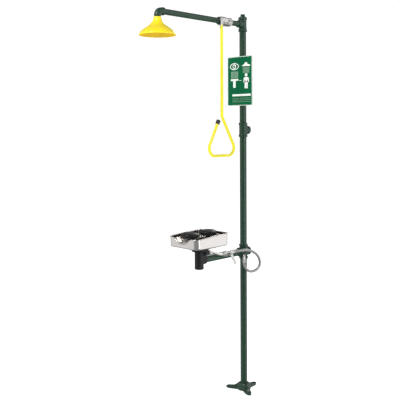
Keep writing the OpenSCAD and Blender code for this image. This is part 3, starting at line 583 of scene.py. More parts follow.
def finish(key):
    """Each material is made once, when it is first asked for."""
    recipes = {
        "green_enamel": lambda: enamel("green_enamel", colour("paint"), 260.0, 0.06),
        "cast_enamel": lambda: enamel("cast_enamel", colour("paint"), 120.0, 0.35),
        "dark_enamel": lambda: enamel("dark_enamel", (0.006, 0.012, 0.009), 200.0, 0.15),
        "chrome_plate": lambda: plated("chrome_plate", (0.80, 0.79, 0.77), 0.13),
        "valve_nickel": lambda: plated("valve_nickel", (0.62, 0.60, 0.58), 0.14, 0.2),
        "stainless_steel": lambda: plated("stainless_steel", (0.68, 0.67, 0.65), 0.22, 0.6),
        "bowl_steel": lambda: plated("bowl_steel", (0.84, 0.81, 0.79), 0.1, 0.3),
        "yellow_plastic": lambda: moulded("yellow_plastic", colour("shell"), 0.28, 500.0, 0.04, 0.4),
        # mustard_plastic is a darker copy of the yellow plastic: painted shade for the shaded underside of the
        # shower head.
        "mustard_plastic": lambda: moulded("mustard_plastic", (0.60, 0.38, 0.008), 0.45, gloss=0.25),
        "yellow_coated_steel": lambda: moulded("yellow_coating", colour("rod"), 0.32, 350.0, 0.08, 0.3),
        "black_plastic": lambda: moulded("black_plastic", colour("plastic"), 0.34, 800.0, 0.08, gloss=0.3),
        "black_rubber": lambda: rubbery("black_rubber"),
        "white_seal_plastic": lambda: moulded("seal_plastic", (0.8, 0.8, 0.77), 0.4),
        "white_foam": lambda: moulded("screen_plastic", (0.72, 0.72, 0.7), 0.6, 300.0, 0.3),
        "green_sign": lambda: printed_green("sign_print", colour("sign"), (0.55, 0.57, 0.55),
                                            (low("sign_plate")[1] + high("sign_plate")[1]) / 2),
        "sign_white": lambda: moulded("sign_white", (0.86, 0.90, 0.86), 0.35, 300.0, 0.02),
        "sign_pale": lambda: moulded("sign_pale", (0.22, 0.36, 0.26), 0.4, 300.0, 0.02),
        "braided_hose": lambda: braided("braided_hose"),
    }
    if key not in MADE:
        MADE[key] = recipes[key]()
    return MADE[key]


def fitted(obj, look, stands_for=(), body="station"):
    """Gives a piece its material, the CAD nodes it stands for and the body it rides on."""
    obj.data.materials.clear()
    obj.data.materials.append(finish(look))
    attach(obj, body)
    if stands_for:
        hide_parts(*([stands_for] if isinstance(stands_for, str) else stands_for))
    return obj


# ---------------------------------------------------------------- stage


LENS, LENS_SHIFT, TILT_DEG, ASIDE = 58.53, -0.1808, -0.19, 267.0
BACKDROP, DIM, RIGHT_GLOW, LEFT_GLOW = 1.1, 0.28, 0.78, 0.5
# Each soft light: its place and the point it faces, in metres, its width and height, and its watts.
LIGHTS = (
    ("key_light", (0.4, -3.6, 4.0), (0, -0.35, 1.5), 1.8, 1.8, 105.0),
    ("side_strip", (3.7, -0.2, 1.5), (0, -0.1, 1.3), 0.4, 3.2, 24.0),
    ("back_light", (-1.6, 3.4, 3.6), (0, -0.2, 1.3), 1.6, 1.6, 40.0),
)


class StageOperator(bpy.types.Operator):
    """Sets the camera, the pale floor and the soft lights"""

    bl_idname = "station.stage"
    bl_label = "Stage"

    def execute(self, context):
        scene = context.scene
        self.camera(scene)
        self.floor(scene)
        self.lights(scene)
        scene.view_settings.view_transform = "Standard"
        return {"FINISHED"}

    def camera(self, scene):
        """A level camera on the corner between +X and -Y, with the part's upper half above its eye line."""
        lens = bpy.data.cameras.new("camera")
        lens.lens = LENS
        lens.sensor_width = 36.0
        lens.shift_y = LENS_SHIFT
        lens.clip_end = 100.0
        camera = bpy.data.objects.new("camera", lens)
        forward, right = np.array([-1, 1, 0]) / np.sqrt(2), np.array([1, 1, 0]) / np.sqrt(2)
        place = -size("camera_distance") * forward - ASIDE * right + size("camera_height") * Z
        turn = Matrix.Rotation(np.radians(45), 4, "Z") @ Matrix.Rotation(np.radians(90), 4, "X")
        tilt = Matrix.Rotation(np.radians(TILT_DEG), 4, "Z")
        camera.matrix_world = Matrix.Translation(place * MM) @ turn @ tilt
        scene.collection.objects.link(camera)
        scene.camera = camera

    def floor(self, scene):
        half = size("floor_size") / 2
        ring = [(-half, -half, 0), (half, -half, 0), (half, half, 0), (-half, half, 0)]
        mesh = bpy.data.meshes.new("floor")
        mesh.from_pydata([[MM * c for c in p] for p in ring], [], [(0, 1, 2, 3)])
        floor = bpy.data.objects.new("floor", mesh)
        f = Finish("floor_paint", Roughness=0.8, Emission_Color=(1, 1, 1, 1), Emission_Strength=0.8)
        f.feed(Base_Color=f.mix(f.noise(2.0), (0.88, 0.88, 0.88), (0.92, 0.92, 0.92)))
        mesh.materials.append(f.material)
        floor.visible_glossy = False
        scene.collection.objects.link(floor)

    def lights(self, scene):
        """A white backdrop that the part doesn't mirror: in its place it mirrors a dim room with one
        bright side behind it on the right, and a less bright one in front on the left."""
        world = bpy.data.worlds.new("studio")
        world.use_nodes = True
        room = Nodes(world.node_tree)
        seen = Signal(room, room.node("ShaderNodeLightPath").outputs["Is Camera Ray"])
        way = room.node("ShaderNodeTexCoord").outputs["Generated"]
        side = Signal(room, room.node("ShaderNodeVectorMath", {"operation": "DOT_PRODUCT"},
                                      {0: way, 1: (0.707, 0.707, 0)}).outputs["Value"])
        right, left = (room.range(side, 0.55 * way, 0.9 * way, 0.0, most)
                       for way, most in ((1, RIGHT_GLOW), (-1, LEFT_GLOW)))
        back = world.node_tree.nodes["Background"]
        back.inputs[0].default_value = (1, 1, 1, 1)
        room.put(back.inputs[1], seen * BACKDROP + (1 - seen) * (right + left + DIM))
        scene.world = world
        for name, at, aim, wide, tall, watts in LIGHTS:
            lamp = bpy.data.lights.new(name, "AREA")
            lamp.shape = "RECTANGLE"
            lamp.size, lamp.size_y = wide, tall
            lamp.energy = watts
            light = bpy.data.objects.new(name, lamp)
            w = np.array(at, float) - np.array(aim, float)
            w /= np.linalg.norm(w)
            u = np.cross(Z, w) / np.linalg.norm(np.cross(Z, w))
            columns = np.column_stack([u, np.cross(w, u), w, at])
            light.matrix_world = Matrix(np.vstack([columns, [0, 0, 0, 1]]).tolist())
            scene.collection.objects.link(light)


# ---------------------------------------------------------------- hose


# Listed points of the hose, from the valve's nut to the elbow at the cross.
HOSE = [(45, -155, 872.5), (45, -132, 872.5), (46.3, -109.3, 872.9), (48.5, -86.5, 873),
    (51.2, -63.8, 872.5), (54.4, -41.2, 870.6), (57.9, -18.9, 866.8), (61.8, 2.6, 860.1),
    (65.9, 22.7, 850), (69.8, 40.6, 836.4), (73, 55.3, 819.1), (75.1, 65, 798.6), (75.2, 67.5, 776),
    (71.8, 60.3, 754.8), (65.1, 44.8, 739.7), (56.7, 24.9, 732.7), (48.6, 3.7, 734.2),
    (42.8, -15.6, 744.8), (40.1, -30.6, 762), (39.5, -37.3, 776), (39.5, -39.3, 789),
    (39.5, -39.5, 799), (39.5, -39.5, 806)]
HOSE_R = 8.0
STRANDS = 6
TURNS = 34


class HoseOperator(bpy.types.Operator):
    """Lays the braided hose, with its crimped sleeves, between the eyewash valve and the cross"""

    bl_idname = "station.hose"
    bl_label = "Braided hose"

    def execute(self, context):
        path = evenly(smooth_path(HOSE, 12), 1.25)
        relief = size("braid_relief")
        along = np.linspace(0, 1, len(path))[:, None] * 2 * np.pi * TURNS
        sides = 72
        round_ = angles(sides)[None] * STRANDS
        one, two = np.abs(np.sin(round_ + along)), np.abs(np.sin(round_ - along))
        over = 0.5 + 0.5 * np.sin(round_ + along) * np.sin(round_ - along)
        weave = np.maximum(one * (0.7 + 0.3 * over), two * (1 - 0.3 * over))
        hose = mesh_from("eyewash_hose_braid",
            [swept(path, HOSE_R - relief + relief * weave, sides)], 80, True)
        fitted(hose, "braided_hose", "eyewash_hose")
        sleeve = softened([(HOSE_R - 0.2, -0.2), (9.2, -0.2), (9.6, 1.6), (8.9, 2.8), (9.6, 4.4),
                (8.9, 6.0), (9.6, 7.6), (8.9, 9.2), (9.6, 10.8), (9.5, 13.6), (HOSE_R - 0.2, 14)],
            0.7)
        sleeves = mesh_from("hose_sleeves", [
            np.concatenate([turned(sleeve, Y, HOSE[0]), turned(sleeve[:1], Y, HOSE[0])]),
            np.concatenate([turned(sleeve, -Z, HOSE[-1]), turned(sleeve[:1], -Z, HOSE[-1])]),
        ])
        fitted(sleeves, "chrome_plate", "hose_ferrules")
        return {"FINISHED"}


# ---------------------------------------------------------------- post and fittings


def port(od, axis, at):
    """One end of a cast fitting: a waist, a flowing step and a rounded band at the mouth."""
    waist, rim = od + 3.2, od + 6.4
    return lathe([(0, 0), (waist, 0), (waist, REACH - BAND - 1), (rim, REACH - BAND + 1.5),
                  (rim, REACH - 0.6), (rim - 1.2, REACH), (0, REACH)], 1.6, axis, at)


def thread(heights, sides):
    """A thread's ridge, from 0 to 1: 1 - |2 s - 1|, where s is the fraction of h / pitch + a / 2 pi."""
    s = (heights[:, None] / PITCH + angles(sides)[None] / (2 * np.pi)) % 1
    return 1 - np.abs(2 * s - 1)


def thread_rings(od, axis, at, length=7.0, sides=60):
    """The last turns of a pipe thread beside a fitting: its ridge stands 0.5 mm out and fades away."""
    h = np.linspace(0, length, int(length * 5))
    fade = np.clip((length - h) / 3.0, 0, 1)[:, None]
    return rings_round(axis, at, h, od - 0.15 + 0.5 * fade * thread(h, sides), sides)


def inner_thread(r, axis, at, depth=15.0, sides=72):
    """The thread inside an open port: a thin sleeve whose ridge stands 0.9 mm in."""
    h = np.linspace(0, -depth, int(depth * 5))
    inside = r - 0.2 - 0.9 * thread(h, sides) * np.clip(-h / 2.0, 0, 1)[:, None]
    rings = rings_round(axis, at, h, inside, sides)
    outer = rings_round(axis, at, np.array([-depth, 0]), np.full((2, 1), r + 0.3), sides)
    return np.concatenate([rings, outer, rings[:1]])


def cast(node, shells, cutters=()):
    """A painted casting: its shells melted into one skin, and the cutters' holes in it."""
    skin = melted(mesh_from(node + "_casting", shells))
    if cutters:
        drilled(skin, cutters)
    fitted(skin, "cast_enamel", node)


class FlangeOperator(bpy.types.Operator):
    """Casts the three-lobed floor flange, with its bolt holes. Its edge is at waist + (tip - waist) L,
    where the lobe L = exp(-(off / 17 degrees)^2.3) and off is the angle from the nearest lobe, and the
    top falls from the hub as exp(-((r - hub) / spread)^1.6)"""

    bl_idname = "station.flange"
    bl_label = "Floor flange"

    def execute(self, context):
        bolts = frame["record"]["mounts"][0]["dims"]
        hub_h, hub_r, bore, thick = high("floor_flange")[2], 28.5, 21.2, 12.0
        waist, tip, soft, top = 41.0, 112.0, 3.0, 1.5
        a = angles(240)
        off = np.abs((a - np.pi / 2 + np.pi / 3) % (2 * np.pi / 3) - np.pi / 3)
        lobe = np.exp(-((off / np.radians(17.0)) ** 2.3))
        edge = waist + (tip - waist) * lobe
        spread = 9.0 + 20.0 * lobe**0.8
        q = np.linspace(0, 1, 34)[:, None]
        r = hub_r + (edge - soft - hub_r) * q**1.25
        slope = np.exp(-(((r - hub_r) / spread) ** 1.6))
        z = thick + (hub_h - thick - top) * slope * (1 - 0.35 * lobe * q)
        z = thick + (z - thick) * (hub_h - thick) / (hub_h - thick - top)
        t = np.linspace(0, np.pi / 2, 6)[:, None]
        none = 0 * a
        rows = [(bore + none, 2.0 + none), (bore + none, hub_h - top + none),
            (22.6 + none, hub_h + none), (27.2 + none, hub_h + none)]
        rows += list(zip(r, z))
        rows += list(zip(edge - soft + soft * np.sin(t), z[-1:] - soft + soft * np.cos(t)))
        rows += [(edge, 0.6 + none), (edge - 0.6, none), (bore + none, none)] + rows[:1]
        grid = np.stack([np.stack([rr * np.cos(a), rr * np.sin(a), zz], -1) for rr, zz in rows])
        flange = mesh_from("floor_flange_casting", [grid], 50)
        circle = bolts["pcd_mm"] / 2
        places = [(circle * np.cos(k), circle * np.sin(k), 0) for k in np.radians([90, 210, 330])]
        holes = [bar(-5, 30, bolts["hole_r_mm"], Z, p, 40) for p in places]
        seats = [turned([(15.0, 12.2), (15.0, 24.0)], Z, p, 48) for p in places]
        drilled(flange, holes + seats, 50)
        fitted(flange, "cast_enamel", "floor_flange")
        return {"FINISHED"}


class FittingsOperator(bpy.types.Operator):
    """Casts the cross, the tees, the elbow and the plug, and cuts the threads beside them"""

    bl_idname = "station.fittings"
    bl_label = "Pipe fittings"

    def execute(self, context):
        bore = POST_R + 0.05
        low_end, high_end = (-REACH - 1, -REACH + THREAD), (REACH - THREAD, REACH + 1)
        spigot = [(0, -6), (11, -6), (11, 20), (12.2, 21), (12.2, 23.6), (0, 24)]
        cast("waste_cross",
             [*(port(POST_R, way, CROSS) for way in (Z, -Z, Y, -Y)),
              lathe(spigot, 0.8, HOSE_PORT_WAY, HOSE_PORT)],
             [bar(*end, bore, axis, CROSS) for axis in (Z, Y) for end in (low_end, high_end)]
             + [bar(-REACH, REACH, 12.5, Y, CROSS)])
        cast("supply_tee", [port(POST_R, way, SUPPLY) for way in (Z, -Z, Y)],
             [bar(*end, bore, Z, SUPPLY) for end in (low_end, high_end)]
             + [bar(*high_end, bore, Y, SUPPLY), bar(-10, REACH, 17.5, Y, SUPPLY)])
        cast("top_tee", [port(POST_R, Z, TOP), port(POST_R, -Z, TOP), port(ARM_R, -Y, TOP)])

        corner = HEAD_AXIS + TOP
        turn = np.linspace(0, np.pi / 2, 16)
        bend = 25.0
        way = -np.cos(turn)[:, None] * Y + np.sin(turn)[:, None] * Z
        around = corner + bend * (Y - Z) + bend * way
        neck = ARM_R + 3.0
        cast("arm_elbow", [
            swept(np.vstack([around[0] - Z, around, around[-1] + Y]), neck, 64),
            lathe([(0, bend - 2), (neck, bend - 2), (ARM_R + 5.8, REACH - BAND + 1),
                   (ARM_R + 5.8, REACH - 0.5), (0, REACH)], 1.6, Y, corner),
            lathe([(0, bend - 1), (neck, bend - 1), (ARM_R + 2.6, bend + 4), (ARM_R, bend + 5.5),
                   (ARM_R, 40), (0, 40)], 1.0, -Z, corner),
        ])

        base = TOP + REACH * Z
        top_z = high("top_plug")[2]
        square = frame_outline(27, 27, 3.5, 6, 6)
        head = np.stack([np.column_stack([square * k, np.full(len(square), z)])
                for k, z in ((0.9, base[2] + 2), (1.0, base[2] + 3), (1.0, top_z - 1.6),
                (0.93, top_z))])
        head[..., :2] = head[..., :2] @ np.array([[1, 1], [-1, 1]]) / np.sqrt(2)
        plug = mesh_from("top_plug_head",
            [head, lathe([(0, -10), (POST_R - 0.3, -10), (POST_R - 0.3, 2.6), (POST_R - 3, 4),
                (0, 4)], 1, Z, base)])
        fitted(plug, "cast_enamel", "top_plug")

        rings = [thread_rings(POST_R, way, place + REACH * way) for place in (CROSS, SUPPLY, TOP)
                for way in (Z, -Z) if not (place is TOP and way is Z)]
        rings += [thread_rings(POST_R, -Y, CROSS - REACH * Y),
            thread_rings(ARM_R, -Y, TOP - REACH * Y),
            thread_rings(ARM_R, Y, HEAD_AXIS + TOP + REACH * Y)]
        threads = mesh_from("pipe_thread_ends", rings, 25)
        fitted(threads, "green_enamel")
        inner = mesh_from("port_threads", [inner_thread(bore, Y, SUPPLY + REACH * Y),
                inner_thread(bore, Y, CROSS + REACH * Y)], 25)
        fitted(inner, "dark_enamel")
        return {"FINISHED"}


# ---------------------------------------------------------------- shower


class ShowerHeadOperator(bpy.types.Operator):
    """Turns the shower head's bell, with its neck rings and rolled rim"""

    bl_idname = "station.shower_head"
    bl_label = "Shower head"

    def execute(self, context):
        rim, top = low("shower_head_shell")[2], high("shower_head_shell")[2]
        r_out = span("shower_head_shell")[0] / 2
        tall = top - rim
        k = r_out / 102.5
        outside = [(19.5, 0), (22.2, -0.4), (23, -2.5), (23, -5.5), (22.4, -7.5), (23, -11),
            (24.2, -16), (26.2, -21.5), (30.5, -29), (40, -40), (51, -49.5), (65 * k, -59),
            (80 * k, -69.5), (91 * k, -79), (98 * k, -88), (101.5 * k, -94.5), (r_out, -tall + 4),
            (r_out - 0.4, -tall + 0.6), (r_out - 2, -tall)]
        inside = [(r_out - 3.2, -tall + 1), (r_out - 3.4, -tall + 6), (94 * k, -88),
            (87 * k, -80.5), (77 * k, -72), (62, -62), (48, -52.5), (37, -43), (27, -33), (20, -27),
            (16.8, -22), (16.8, -4), (17.4, -0.2)]
        profile = softened(outside + inside + outside[:1], 4.0, 6)
        bell = mesh_from("shower_head_bell", [turned(profile, Z, HEAD_AXIS + top * Z, 128)], 45)
        fitted(bell, "yellow_plastic", "shower_head_shell")
        return {"FINISHED"}


def hex_valve(name, centre, flats, hex_w, barrel_r, half_len, split, neck_r, neck_x, stands_for,
              look):
    """A two-piece ball valve: a barrel between two hexagons along Y, a joint line and a neck."""
    inlet = centre + half_len * Y
    shells = [six_sided(flats, hex_w, -Y, inlet, 1.6),
        lathe([(0, -hex_w + 1), (barrel_r - 2, -hex_w + 1), (barrel_r, -hex_w - 3),
            (barrel_r, -2 * half_len + split + 1), (barrel_r - 1.5, -2 * half_len + split),
            (0, -2 * half_len + split)], 1.5, Y, inlet),
        lathe([(0, 0), (neck_r + 2.5, 0), (neck_r + 2.0, barrel_r * 0.96), (neck_r, barrel_r + 1.0),
            (neck_r, neck_x - 0.6), (neck_r - 0.8, neck_x), (0, neck_x)], 0.8, X, centre, 48),
        lathe([(0, 0.2), (flats / 2 * 1.02, 0.2), (flats / 2 * 1.02, 1.4), (0, 1.4)], 0.4, Y,
            inlet)]
    body = mesh_from(name + "_body", shells, 35)
    fitted(body, look, stands_for[0])
    end = centre - half_len * Y
    tail = mesh_from(name + "_end", [
        six_sided(flats, split - 0.3, Y, end, 1.6),
        lathe([(0, -1.2), (flats / 2 * 1.02, -1.2), (flats / 2 * 1.02, 0), (0, 0)], 0.4, Y, end),
    ], 35)
    fitted(tail, look, stands_for[1])


def strap(node, body, a, b, ra, rb):
    """A flat steel bar round two circles, as thick as its node."""
    bar_ = plate(node + "_plate", strap_outline(a, b, ra, rb), span(node)[0], low(node)[0])
    fitted(bar_, "stainless_steel", node, body)


def steel_nut(node, body, flats, thick, centre, chamfer):
    """A hexagonal nut whose outer face is where its node's is."""
    at = high(node)[0] * X + centre * (Y + Z)
    nut = mesh_from(node + "_steel", [six_sided(flats, thick, -X, at, chamfer)], 35)
    fitted(nut, "stainless_steel", node, body)


class ShowerValveOperator(bpy.types.Operator):
    """Makes the shower's ball valve, its lever and the link that carries the pull rod"""

    bl_idname = "station.shower_valve"
    bl_label = "Shower valve"

    def execute(self, context):
        stem = joint_at("shower_lever_turn")
        centre = stem * (Y + Z)
        half = (centre - low("shower_valve_tailpiece"))[1]
        split = span("shower_valve_tailpiece")[1] - 8.0
        hex_valve("shower_valve", centre, 50, 20, 28, half, split, 13,
            low("shower_gland_nut")[0] + 3, ("shower_valve_body", "shower_valve_tailpiece"),
            "valve_nickel")
        steel_nut("shower_gland_nut", "station", 21, 5.0, centre, 0.8)
        steel_nut("shower_lever_nut", "shower_lever_body", 13, 6.0, centre, 0.8)
        end = joint_at("link_turn")
        strap("shower_lever", "shower_lever_body", centre[1:], end[1:], 12, 10)
        strap("rod_link", "link_body", end[1:], joint_at("rod_swing")[1:], 8, 7)
        pin = span("link_pin")[0]
        bolt = mesh_from("link_pin_steel",
            [lathe([(0, 0), (6.2, 0), (6.5, 0.5), (6.5, 1.9), (3.95, 2.1), (3.95, pin - 4.2),
                (6, pin - 4.0), (6, pin - 2.2), (3.95, pin - 2.1), (3.95, pin - 0.8), (3.2, pin),
                (0, pin)], 0.25, X, low("link_pin")[0] * X + end * (Y + Z), 40)], 35)
        fitted(bolt, "stainless_steel", "link_pin", "link_body")
        collar = middle("arm_lock_nut")
        wide = span("arm_lock_nut")[1]
        ring = mesh_from("arm_lock_ring",
            [lathe([(ARM_R, 0), (21.8, 0), (23, 1.4), (23, wide - 1.4), (21.8, wide), (ARM_R, wide),
                (ARM_R, 0)], 0.8, Y, collar * (X + Z) + low("arm_lock_nut")[1] * Y)])
        fitted(ring, "dark_enamel", "arm_lock_nut")
        return {"FINISHED"}


class PullRodOperator(bpy.types.Operator):
    """Bends the yellow pull rod and its open triangular handle, with the cap on its free end"""

    bl_idname = "station.pull_rod"
    bl_label = "Pull rod"

    def execute(self, context):
        rod = joint_at("rod_swing")
        lo, hi = low("pull_rod"), high("pull_rod")
        radius = (hi - lo)[0] / 2
        bottom = lo[2] + radius
        tall, wide, corner_r, neck_r = 240, 274, 45, 30
        bend_z = bottom + tall - radius
        half = wide / 2
        corners = [(0, bend_z), (half, bottom), (-half, bottom), (-30, bend_z - 27)]
        start = np.array([(0, hi[2]), (0, bend_z + 60)], float)
        right = self.bend((0, bend_z + 36), corners[0], corners[1], neck_r)
        low_right = self.bend(corners[0], corners[1], corners[2], corner_r)
        low_left = self.bend(corners[1], corners[2], corners[3], corner_r)
        line = np.vstack([start, right, low_right, low_left, [corners[3]]])
        path = np.column_stack([np.full(len(line), rod[0]), line[:, 0] + rod[1], line[:, 1]])
        path = evenly(path, 4.0)
        r = np.full(len(path), radius)
        r[0] -= 1.2
        first = path[:1] + [[0, 0, 0.01]]
        path, r = np.vstack([first, path]), np.concatenate([[radius - 1.6], r])
        bar_ = mesh_from("pull_rod_bar", [swept(path, r, 40)], 40)
        slot_x = span("rod_link")[0] / 2 + 0.3
        drilled(bar_, [block(rod + [-slot_x, -20, -10], rod + [slot_x, 20, 40])])
        fitted(bar_, "yellow_coated_steel", "pull_rod", "rod_body")
        end, way = path[-1], path[-1] - path[-4]
        cap = mesh_from("rod_end_cap_rubber",
            [lathe([(radius + 0.05, -22), (radius + 2.6, -22), (radius + 3.8, -20.5),
                (radius + 3.8, -17), (radius + 3.2, -16), (radius + 3.2, -14.5),
                (radius + 3.8, -13.5), (radius + 3.8, -10), (radius + 3.2, -9),
                (radius + 3.2, -7.5), (radius + 3.8, -6.5), (radius + 4, 2), (radius + 2.5, 4.4),
                (6, 5.0), (0, 5.0)], 0.8, way, end, 48)], 50)
        fitted(cap, "black_rubber", "rod_end_cap", "rod_body")
        return {"FINISHED"}

    def bend(self, a, c, b, r, steps=14):
        """A round bend of radius r at corner c: mid + r times unit vectors that turn from one tangent
        point to the other."""
        a, b, c = (np.asarray(p, float) for p in (a, b, c))
        u, v = (a - c) / np.linalg.norm(a - c), (b - c) / np.linalg.norm(b - c)
        half = np.arccos(u @ v) / 2
        mid = c + (u + v) / np.linalg.norm(u + v) * r / np.sin(half)
        p, q = c + u * r / np.tan(half) - mid, c + v * r / np.tan(half) - mid
        t = np.linspace(0, 1, steps)[:, None]
        way = (1 - t) * p + t * q
        return mid + r * way / np.linalg.norm(way, axis=1, keepdims=True)


# ---------------------------------------------------------------- sign


class SignOperator(bpy.types.Operator):
    """Prints the sign's white pictures, its border and the plain bars that stand for its wording"""

    bl_idname = "station.sign"
    bl_label = "Sign"

    def execute(self, context):
        lo, hi = low("sign_plate"), high("sign_plate")
        self.front = lo[1]
        self.left, self.top = lo[0], hi[2]
        self.wide, self.tall = (hi - lo)[0], (hi - lo)[2]
        white = [self.ring(self.oval(0.285, 0.2, 0.178, 0.07), self.oval(0.285, 0.2, 0.15, 0.055))]
        white += [self.ring(self.oval(0.285, 0.2, 0.07, 0.046), self.oval(0.285, 0.2, 0.045, 0.03))]
        white += [self.patch(self.oval(0.305, 0.188, 0.018, 0.012))]
        white += [self.patch(self.bar(0.14, 0.455, 0.44, 0.49)),
            self.patch(self.bar(0.235, 0.488, 0.335, 0.63)),
            self.patch(self.bar(0.47, 0.486, 0.58, 0.494))]
        white += [self.patch(self.place([(0.71, 0.135), (0.79, 0.135), (0.81, 0.165), (0.92, 0.19),
                (0.92, 0.207), (0.6, 0.207), (0.6, 0.19), (0.69, 0.165)]))]
        white += [self.patch(self.oval(0.76, 0.385, 0.052, 0.033))]
        white += [self.patch(self.place([(0.70, 0.43), (0.82, 0.43), (0.86, 0.45), (0.87, 0.53),
                (0.83, 0.53), (0.82, 0.47), (0.82, 0.655), (0.77, 0.655), (0.76, 0.55),
                (0.75, 0.655), (0.70, 0.655), (0.70, 0.47), (0.69, 0.53), (0.65, 0.53),
                (0.66, 0.45)]))]
        white += [self.patch(self.bar(0.2, 0.765, 0.93, 0.805))]
        white += [self.ring(self.bar(0.005, 0.004, 0.995, 0.996),
                self.bar(0.02, 0.013, 0.98, 0.987))]
        pictures = mesh_from("sign_pictures", white, 30)
        fitted(pictures, "sign_white")
        pale = [self.patch(self.bar(0.155 + 0.05 * k, 0.3, 0.185 + 0.05 * k, 0.44))
                for k in range(6)]
        pale += [self.patch(self.bar(0.63 + 0.045 * k, 0.225, 0.655 + 0.045 * k, 0.345))
                for k in range(6)]
        pale += [self.patch(self.bar(0.2, z, 0.93, z + 0.007)) for z in (0.845, 0.88, 0.915)]
        streams = mesh_from("sign_streams", pale, 30)
        fitted(streams, "sign_pale")
        return {"FINISHED"}

    def place(self, points):
        """Shares of the sign's width and height, from its upper left corner, as points on its face."""
        p = np.asarray(points, float)
        return np.column_stack([self.left + p[:, 0] * self.wide, np.full(len(p), self.front),
                self.top - p[:, 1] * self.tall])

    def oval(self, x, z, rx, rz, n=40):
        t = angles(n)
        return self.place(np.stack([x + rx * np.cos(t), z + rz * np.sin(t)], 1))

    def bar(self, x0, z0, x1, z1):
        return self.place([(x0, z0), (x1, z0), (x1, z1), (x0, z1)])

    def patch(self, outline):
        """A printed patch 0.15 mm thick."""
        return np.stack([outline + k * Y for k in (0.05, -0.15)])

    def ring(self, outer, inner):
        rows = [outer + 0.05 * Y, outer - 0.15 * Y, inner - 0.15 * Y, inner + 0.05 * Y,
            outer + 0.05 * Y]
        return np.stack(rows)


# ---------------------------------------------------------------- eyewash


class BowlOperator(bpy.types.Operator):
    """Presses the stainless bowl, with the dip in its front wall and its rolled rim"""

    bl_idname = "station.bowl"
    bl_label = "Bowl"

    def execute(self, context):
        lo, hi = low("bowl"), high("bowl")
        wide, long_ = (hi - lo)[0], (hi - lo)[1]
        rim, base = hi[2], lo[2]
        lip, pan, corner, sheet, fall, half_flat = 963.0, 942.0, 36.0, 1.3, 12.0, 11
        roll = size("rim_roll")
        outline = frame_outline(wide - sheet, long_ - sheet, corner - sheet / 2, 26, 12)
        nearer = frame_outline(wide - sheet - 12, long_ - sheet - 12, corner - 6, 26, 12)
        out = outline - nearer
        out /= np.linalg.norm(out, axis=1, keepdims=True)
        spoke = outline / np.linalg.norm(outline, axis=1, keepdims=True)
        straight = long_ / 2 - corner
        side = rim - fall * np.clip((straight - outline[:, 1]) / (long_ / 2 + straight), 0, 1)
        dip = np.clip((np.abs(outline[:, 0]) - half_flat) / (wide / 2 - corner - 2 - half_flat), 0,
            1)
        front = lip + (rim - fall - lip) * (0.5 - 0.5 * np.cos(np.pi * dip))
        edge = np.where(outline[:, 1] < -straight - corner / 2, front, side) - roll
        rows = [(spoke * r, np.full(len(outline), base + 0.8 + z))
                for r, z in ((22.6, 0), (30, 0), (38, 0), (43, 0.2))]
        for q in np.linspace(0.06, 0.94, 12):
            rows.append((spoke * 44 * (1 - q) + nearer * q,
                    base + 1.2 + (pan - base - 4.5) * q + 0 * edge))
        for t in np.linspace(0.15, 1, 6):
            rows.append((nearer * (1 - t) + outline * t, pan - 4.5 + 6 * t**2.2 + 0 * edge))
        for q in np.linspace(0.1, 1, 8):
            rows.append((outline, pan + 1.5 + (edge - pan - 1.5) * q))
        for t in np.linspace(0.2, 1, 9) * 1.45 * np.pi:
            rows.append((outline + out * roll * (1 - np.cos(t)) * 0.95, edge + roll * np.sin(t)))
        grid = np.stack([np.column_stack([p, z]) for p, z in rows]) + [0, BOWL[1], 0]
        bowl = self.open_sheet("bowl_pressing", grid)
        wall = bowl.modifiers.new("sheet", "SOLIDIFY")
        wall.thickness = sheet * MM
        wall.offset = 0
        settled(bowl, 55)
        fitted(bowl, "bowl_steel", "bowl")
        return {"FINISHED"}

    def open_sheet(self, name, grid):
        """A mesh of the grid's quads alone, with open ends."""
        n, m = grid.shape[:2]
        mesh = bpy.data.meshes.new(name)
        mesh.from_pydata(grid.reshape(-1, 3) * MM, [], faces_of(n, m, True))
        tidy_mesh(mesh)
        mesh.shade_smooth()
        obj = bpy.data.objects.new(name, mesh)
        bpy.context.scene.collection.objects.link(obj)
        return obj


class ReceiverOperator(bpy.types.Operator):
    """Moulds the black receiver under the bowl, and its cleanout cap"""

    bl_idname = "station.receiver"
    bl_label = "Receiver"

    def execute(self, context):
        axis = BOWL * Y
        top, bottom = high("receiver_body")[2], low("cleanout_cap")[2]
        face = high("receiver_body")[1]
        r = 26.5
        inlet = np.array([30, face, 895])
        body = mesh_from("receiver_moulding",
            [lathe([(0, bottom + 11), (r, bottom + 11), (r, top - 12), (r + 3, top - 9),
                (42.6, top - 6.4), (43.8, top - 5), (43.8, top - 1), (43, top - 0.2),
                (0, top - 0.2)], 1.4, Z, axis), lathe([(0, -43), (27, -43), (27, -12), (28.6, -10),
                (28.6, -1), (27.5, 0), (0, 0)], 1.2, Y, CROSS + Z + face * Y),
                lathe([(0, -30), (13.2, -30), (13.2, -8), (14.4, -7), (14.4, -0.8), (13.6, 0),
                (0, 0)], 0.8, Y, inlet), turned([(0, -40), (12, -40), (12, -4), (0, -4)], Y,
                np.array([6, face, 892])), turned([(0, -40), (13, -40), (13, -6), (0, -6)], Y,
                np.array([18, face, 890])), block((-13, face - 34, 858), (26, face - 8, 888))])
        melted(body, 1.2, 5)
        drilled(body, [bar(-THREAD, 1, POST_R + 0.05, Y, CROSS + face * Y),
                bar(-14, 1, 8.0, Y, inlet)], 60)
        fitted(body, "black_plastic", "receiver_body")
        grip = 1 + 0.012 * np.clip(np.cos(24 * angles(144)) * 3, -1, 1)
        rows = lathe([(0, 0), (r - 3, 0), (r - 0.6, 2.2), (r - 0.2, 3), (r - 0.2, 10.4),
                (r - 1.4, 11.6), (0, 11.8)], 0.8, Z, axis + bottom * Z, 144)
        centre = axis * (X + Y)
        rows[..., :2] = centre[:2] + (rows[..., :2] - centre[:2]) * grip[None, :, None]
        cap = mesh_from("cleanout_cap_grip", [rows], 50)
        fitted(cap, "black_plastic", "cleanout_cap")
        return {"FINISHED"}


